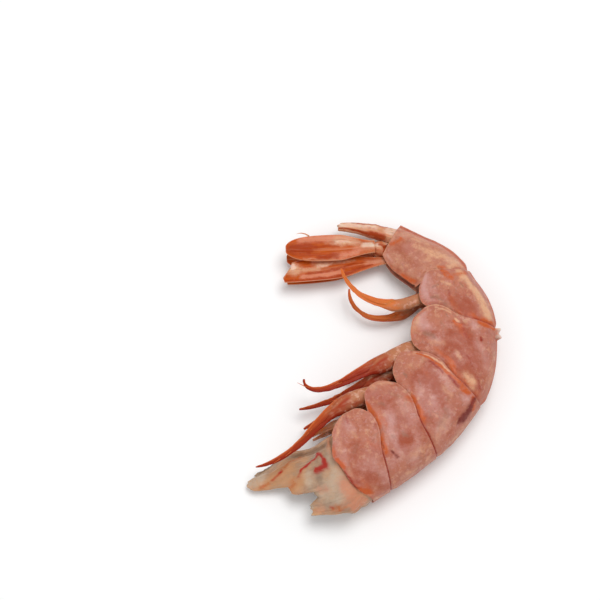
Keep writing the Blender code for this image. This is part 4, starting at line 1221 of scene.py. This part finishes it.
class ShrimpFleshSettings(bpy.types.PropertyGroup):
    relief: relief_setting("Strength of the flesh's lumps and fibres")
    pale: colour_setting("Pale", "Main colour of the raw flesh", tint(164, 134, 110))
    warm: colour_setting("Warm", "Warmer, denser flesh", tint(194, 148, 112))
    grey: colour_setting("Grey", "Thin, glassy and shaded flesh", tint(130, 94, 66))
    milky: colour_setting("Milky", "Clouded, whitish flesh", tint(194, 171, 148))
    tan: colour_setting("Tan", "Yellowish, slightly dried flesh", tint(196, 142, 96))
    skin: colour_setting("Skin", "Pink skin by the first plate", tint(204, 134, 102))
    orange: colour_setting("Orange", "Orange streaks", tint(184, 96, 40))
    red: colour_setting("Red", "Red marks at the tear", tint(166, 34, 14))


class ShrimpFanSettings(bpy.types.PropertyGroup):
    rib: length_setting("Rib", "Height of the ribs along a blade", 0.07)
    orange: colour_setting("Orange", "Main colour of the blades", tint(190, 82, 14))
    deep: colour_setting("Deep orange", "Darker grooves and tips", tint(160, 54, 4))
    pale: colour_setting("Pale", "Pale rims, ribs and roots", tint(212, 158, 124))
    # White also paints the glints on the knuckle and on the blades.
    white: colour_setting("White", "Whitish corners, knobs and tip", tint(232, 198, 176))
    pink: colour_setting("Pink", "Pink stripe of the outer blades", tint(214, 138, 108))


class ShrimpLimbSettings(bpy.types.PropertyGroup):
    midrib: length_setting("Midrib", "Height of the rib along a swimmeret's blade", 0.14)
    stem: colour_setting("Stem", "Tan stems", tint(182, 118, 84))
    # Blade also paints shade along the stems' lower edges, and deep red the shade along the blades' lower
    # edges; light orange paints the lit upper edges as well as lighter limbs; pale paints highlights on the
    # stems.
    blade: colour_setting("Blade", "Red-orange blades", tint(160, 52, 22))
    deep: colour_setting("Deep red", "Lower edges of the blades", tint(130, 24, 8))
    light: colour_setting("Light orange", "Upper edges and lighter limbs", tint(212, 112, 52))
    pale: colour_setting("Pale", "Lilac lights on the stems and pink tips", tint(214, 164, 142))


class ShrimpStageSettings(bpy.types.PropertyGroup):
    elevation: FloatProperty(name="Elevation", description="Height angle of the camera", subtype="ANGLE",
                             unit="ROTATION", default=math.radians(72.0))
    distance: FloatProperty(name="Distance", description="From the camera to the point it looks at",
                            unit="LENGTH", default=0.36833)
    look_at: FloatVectorProperty(name="Look at", description="Point in the middle of the picture",
                                 subtype="XYZ", unit="LENGTH", size=3,
                                 default=(-0.019136, 0.015882, 0.011544))
    lens: FloatProperty(name="Lens", description="Focal length in millimetres", default=85.0)
    floor: colour_setting("Floor", "Plain floor", (0.95, 0.95, 0.95))
    sky: FloatProperty(name="Sky", description="Strength of the even light from all round", default=0.59)
    key: FloatProperty(name="Key", description="Power of the soft light above", unit="POWER", default=1.78)
    fill: FloatProperty(name="Fill", description="Power of the soft light from the side", unit="POWER",
                        default=0.5)


def shell_material(c):
    m = Finish("wet_shell")
    colour = m.lay(c.salmon, c.rose, m.cloud(0.0075, 3.0), 0.36, 0.66)
    colour = m.lay(colour, c.dusky, m.cloud(0.0027, 4.0, distortion=0.5), 0.48, 0.70, 0.50)
    colour = m.lay(colour, c.cream, m.cloud(0.0018, 5.0), 0.52, 0.70, 0.42)
    colour = m.lay(colour, c.mauve, m.cloud(0.0010, 5.0), 0.52, 0.70, 0.40)
    colour = m.veins(colour, c.grey, 0.0028, 0.07, 0.35)
    colour = m.dots(colour, c.red, 0.0008, 0.26, 0.35)
    colour = m.stains(
        colour, c, ("mauve", 0.0018, 0.85, 1.2), ("dusky", 0.0016, 0.95, 1.3), ("grey", 0.0012, 0.85, 1.2),
        ("cream", 0.0013, 0.90, 1.2), ("orange", 0.0010, 0.98, 1.4), ("maroon", 0.0010, 1.0, 1.0),
        ("red", 0.0008, 1.0, 0.9),
    )
    colour = m.mix(m.painted("chip"), colour, c.chip)
    roughness = m.uneven(0.0016, 0.34)
    m.bump((m.cloud(0.0011, 5.0), 0.00020), (m.cloud(0.0003, 3.0), 0.00005))
    return m.close(colour, roughness, flesh_depth=0.3, radius=(1.0, 0.42, 0.28), scale=0.0009, coat=0.15,
                   coat_roughness=0.16, ior=1.40, specular=0.35)


def flesh_material(c):
    m = Finish("raw_flesh")
    colour = m.lay(c.pale, c.warm, m.cloud(0.004, 4.0), 0.4, 0.65)
    colour = m.lay(colour, c.grey, m.cloud(0.0022, 4.0, distortion=0.6), 0.52, 0.75, 0.35)
    colour = m.lay(colour, c.milky, m.stretched(4.0, 0.6, 4.0), 0.52, 0.75, 0.35)
    colour = m.stains(
        colour, c, ("grey", 0.0016, 0.85, 1.1), ("tan", 0.0016, 0.80, 1.1), ("milky", 0.0014, 0.85, 1.1),
        ("skin", 0.0014, 0.85, 1.1), ("orange", 0.0010, 0.90, 1.3), ("red", 0.0006, 1.0, 0.7),
    )
    colour = m.lay(colour, c.grey, m.painted("lip"), 0.2, 1.0, 0.15)
    roughness = m.uneven(0.002, 0.30)
    m.bump((m.stretched(4.0, 0.4, 4.0), 0.00020), (m.cloud(0.0005, 3.0), 0.00007))
    return m.close(colour, roughness, flesh_depth=0.5, radius=(1.0, 0.65, 0.45), scale=0.0018, coat=0.2,
                   coat_roughness=0.14, ior=1.38, specular=0.4)


def fan_material(c):
    m = Finish("tail_fan")
    colour = m.lay(c.orange, c.deep, m.stretched(7.0, 0.6, 4.0), 0.45, 0.66, 0.5)
    colour = m.lay(colour, c.pale, m.painted("rib"), 0.1, 0.9, 0.3)
    colour = m.stains(
        colour, c, ("pink", 0.0012, 0.85, 1.0), ("pale", 0.0010, 0.95, 1.1), ("white", 0.0010, 0.95, 1.1),
        ("deep", 0.0010, 0.95, 1.0),
    )
    colour = m.lay(colour, c.deep, m.stretched(5.0, 0.35, 4.0), 0.52, 0.70, 0.3)
    colour = m.lay(colour, c.pale, m.stretched(6.0, 0.30, 4.0), 0.56, 0.74, 0.22)
    colour = m.lay(colour, c.pale, m.painted("rim"), 0.3, 0.9, 0.7)
    roughness = m.uneven(0.0016, 0.36)
    m.bump((m.stretched(6.0, 0.22, 3.0), 0.00014), (m.cloud(0.0005, 3.0), 0.00006))
    return m.close(colour, roughness, flesh_depth=0.25, radius=(1.0, 0.3, 0.1), scale=0.0008, coat=0.05,
                   coat_roughness=0.15, ior=1.40, specular=0.14)


def limb_material(c):
    m = Finish("swimmeret")
    ragged = m.times(m.sum(m.stretched(6.0, 1.2, 2.0), 0.5, "SUBTRACT"), 0.5)
    onward = m.sum(m.painted("onward"), ragged)
    redness = m.sum(m.painted("redness"), m.times(ragged, 0.6))
    blade = m.lay(c.light, c.blade, redness, 0.05, 0.75)
    colour = m.lay(c.stem, blade, onward, -0.12, 0.14)
    # Deeper colour along a limb's lower edge: on the stem it is painted shade, on the blade painted shade
    # over the blade's own deeper red.
    shaded_low_edge = m.step(m.sum(m.painted("edge"), m.times(ragged, 2.0)), -0.1, 0.9, 0.9)
    shaded_low_edge = m.times(shaded_low_edge, m.times(m.painted("redness"), 0.9))
    colour = m.mix(m.times(shaded_low_edge, m.step(onward, -0.36, -0.2)), colour, c.blade)
    colour = m.mix(m.times(shaded_low_edge, m.step(onward, -0.15, 0.1)), colour, c.deep)
    # Light orange along the upper edge is painted light.
    lit_high_edge = m.step(m.sum(m.painted("edge"), ragged), -0.2, -1.0, 0.75)
    colour = m.mix(m.times(lit_high_edge, m.step(onward, -0.05, 0.2)), colour, c.light)
    # Pale patches on the stems are painted highlights.
    lights = m.times(m.step(m.cloud(0.0013, 4.0), 0.50, 0.66, 0.75), m.step(onward, 0.10, -0.12))
    colour = m.mix(lights, colour, c.pale)
    roughness = m.uneven(0.0012, 0.32)
    m.bump((m.stretched(3.0, 0.25, 3.0), 0.00014),)
    return m.close(colour, roughness, flesh_depth=0.25, radius=(1.0, 0.3, 0.12), scale=0.0008, coat=0.05,
                   coat_roughness=0.14, ior=1.40, specular=0.16)


# ---- Operators ----

class SHRIMP_OT_shells(bpy.types.Operator):
    """Build the six plates of the shell"""
    bl_idname = "shrimp.shells"
    bl_label = "Shells"

    def execute(self, context):
        settings = context.scene.shrimp_shell
        material = shell_material(settings)
        for number in range(len(SHELL_LENGTH)):
            make_shell(number, settings, material)
        return {"FINISHED"}


class SHRIMP_OT_flesh(bpy.types.Operator):
    """Build the flesh with its torn neck"""
    bl_idname = "shrimp.flesh"
    bl_label = "Flesh"

    def execute(self, context):
        settings = context.scene.shrimp_flesh
        make_flesh(settings, flesh_material(settings))
        return {"FINISHED"}


class SHRIMP_OT_fan(bpy.types.Operator):
    """Build the tail fan: spike, four blades and two knuckles"""
    bl_idname = "shrimp.fan"
    bl_label = "Tail fan"

    def execute(self, context):
        settings = context.scene.shrimp_fan
        material = fan_material(settings)
        make_telson(material)
        for name in list(BLADES)[1:]:
            make_blade(name, settings, material)
        for side_name in KNUCKLES:
            make_knuckle(side_name, material)
        return {"FINISHED"}


class SHRIMP_OT_limbs(bpy.types.Operator):
    """Build the five pairs of swimmerets"""
    bl_idname = "shrimp.limbs"
    bl_label = "Swimmerets"

    def execute(self, context):
        settings = context.scene.shrimp_limb
        material = limb_material(settings)
        for side_name, legs in (("right", RIGHT_LEGS), ("left", LEFT_LEGS)):
            for leg in legs:
                make_leg(side_name, leg, settings, material)
        return {"FINISHED"}


class SHRIMP_OT_stage(bpy.types.Operator):
    """Set the camera, the soft light and the plain floor"""
    bl_idname = "shrimp.stage"
    bl_label = "Stage"

    def execute(self, context):
        scene, settings = context.scene, context.scene.shrimp_stage
        lay_floor(scene, settings)
        set_lights(scene, settings)
        set_camera(scene, settings)
        scene.view_settings.view_transform = "Standard"
        return {"FINISHED"}


def lay_floor(scene, settings):
    """A plain matt floor, level with the table."""
    corners = [(x * FLOOR_REACH, y * FLOOR_REACH, 0) for x, y in ((-1, -1), (1, -1), (1, 1), (-1, 1))]
    mesh = bpy.data.meshes.new("floor")
    mesh.from_pydata(corners, [], [(0, 1, 2, 3)])
    finish = Finish("floor")
    finish.shader.inputs["Base Color"].default_value = (*settings.floor, 1.0)
    finish.shader.inputs["Roughness"].default_value = 0.9
    mesh.materials.append(finish.material)
    floor = bpy.data.objects.new("floor", mesh)
    scene.collection.objects.link(floor)


def set_lights(scene, settings):
    """Even white light from all round, and two soft round lamps aimed at the origin on the floor."""
    world = bpy.data.worlds.new("soft_light")
    world.use_nodes = True
    background = world.node_tree.nodes["Background"]
    background.inputs["Color"].default_value = (1.0, 1.0, 1.0, 1.0)
    background.inputs["Strength"].default_value = settings.sky
    scene.world = world
    for name, place_at, width in LAMPS:
        lamp = bpy.data.lights.new(name, "AREA")
        lamp.shape = "DISK"
        lamp.size = width
        lamp.energy = getattr(settings, name)
        light = bpy.data.objects.new(name, lamp)
        aim_from(light, place_at, (0.0, 0.0, 0.0))
        scene.collection.objects.link(light)


def set_camera(scene, settings):
    """A camera that looks from the near side at the set elevation and distance."""
    camera_data = bpy.data.cameras.new("camera")
    camera_data.lens = settings.lens
    camera_data.sensor_width = SENSOR_WIDTH
    camera_data.clip_start = CLIP_START
    camera = bpy.data.objects.new("camera", camera_data)
    tilt = settings.elevation
    away = np.array([0.0, -math.cos(tilt), math.sin(tilt)])
    camera.location = np.array(settings.look_at) + settings.distance * away
    camera.rotation_euler = (math.pi / 2 - tilt, 0.0, 0.0)
    scene.collection.objects.link(camera)
    scene.camera = camera


def aim_from(obj, place_at, target):
    """Puts a lamp at a place and turns it to a target."""
    obj.location = place_at
    obj.rotation_euler = (Vector(target) - Vector(place_at)).to_track_quat("-Z", "Y").to_euler()


class SHRIMP_PT_panel(bpy.types.Panel):
    """Sidebar panel with the makers and their settings"""
    bl_idname = "SHRIMP_PT_panel"
    bl_label = "Raw shrimp tail"
    bl_space_type = "VIEW_3D"
    bl_region_type = "UI"
    bl_category = "Shrimp"

    def draw(self, context):
        for operator, group in MAKERS:
            box = self.layout.box()
            box.operator(operator.bl_idname)
            settings = getattr(context.scene, group)
            for key in type(settings).__annotations__:
                box.prop(settings, key)


MAKERS = (
    (SHRIMP_OT_shells, "shrimp_shell"),
    (SHRIMP_OT_flesh, "shrimp_flesh"),
    (SHRIMP_OT_fan, "shrimp_fan"),
    (SHRIMP_OT_limbs, "shrimp_limb"),
    (SHRIMP_OT_stage, "shrimp_stage"),
)
GROUPS = {
    "shrimp_shell": ShrimpShellSettings,
    "shrimp_flesh": ShrimpFleshSettings,
    "shrimp_fan": ShrimpFanSettings,
    "shrimp_limb": ShrimpLimbSettings,
    "shrimp_stage": ShrimpStageSettings,
}
CLASSES = (*GROUPS.values(), *(operator for operator, _ in MAKERS), SHRIMP_PT_panel)


def register():
    for each in CLASSES:
        bpy.utils.register_class(each)
    for name, group in GROUPS.items():
        setattr(bpy.types.Scene, name, PointerProperty(type=group))


def unregister():
    for name in GROUPS:
        delattr(bpy.types.Scene, name)
    for each in reversed(CLASSES):
        bpy.utils.unregister_class(each)


def main():
    register()
    bpy.ops.shrimp.stage()
    bpy.ops.shrimp.shells()
    bpy.ops.shrimp.flesh()
    bpy.ops.shrimp.fan()
    bpy.ops.shrimp.limbs()


if __name__ == "__main__":
    main()
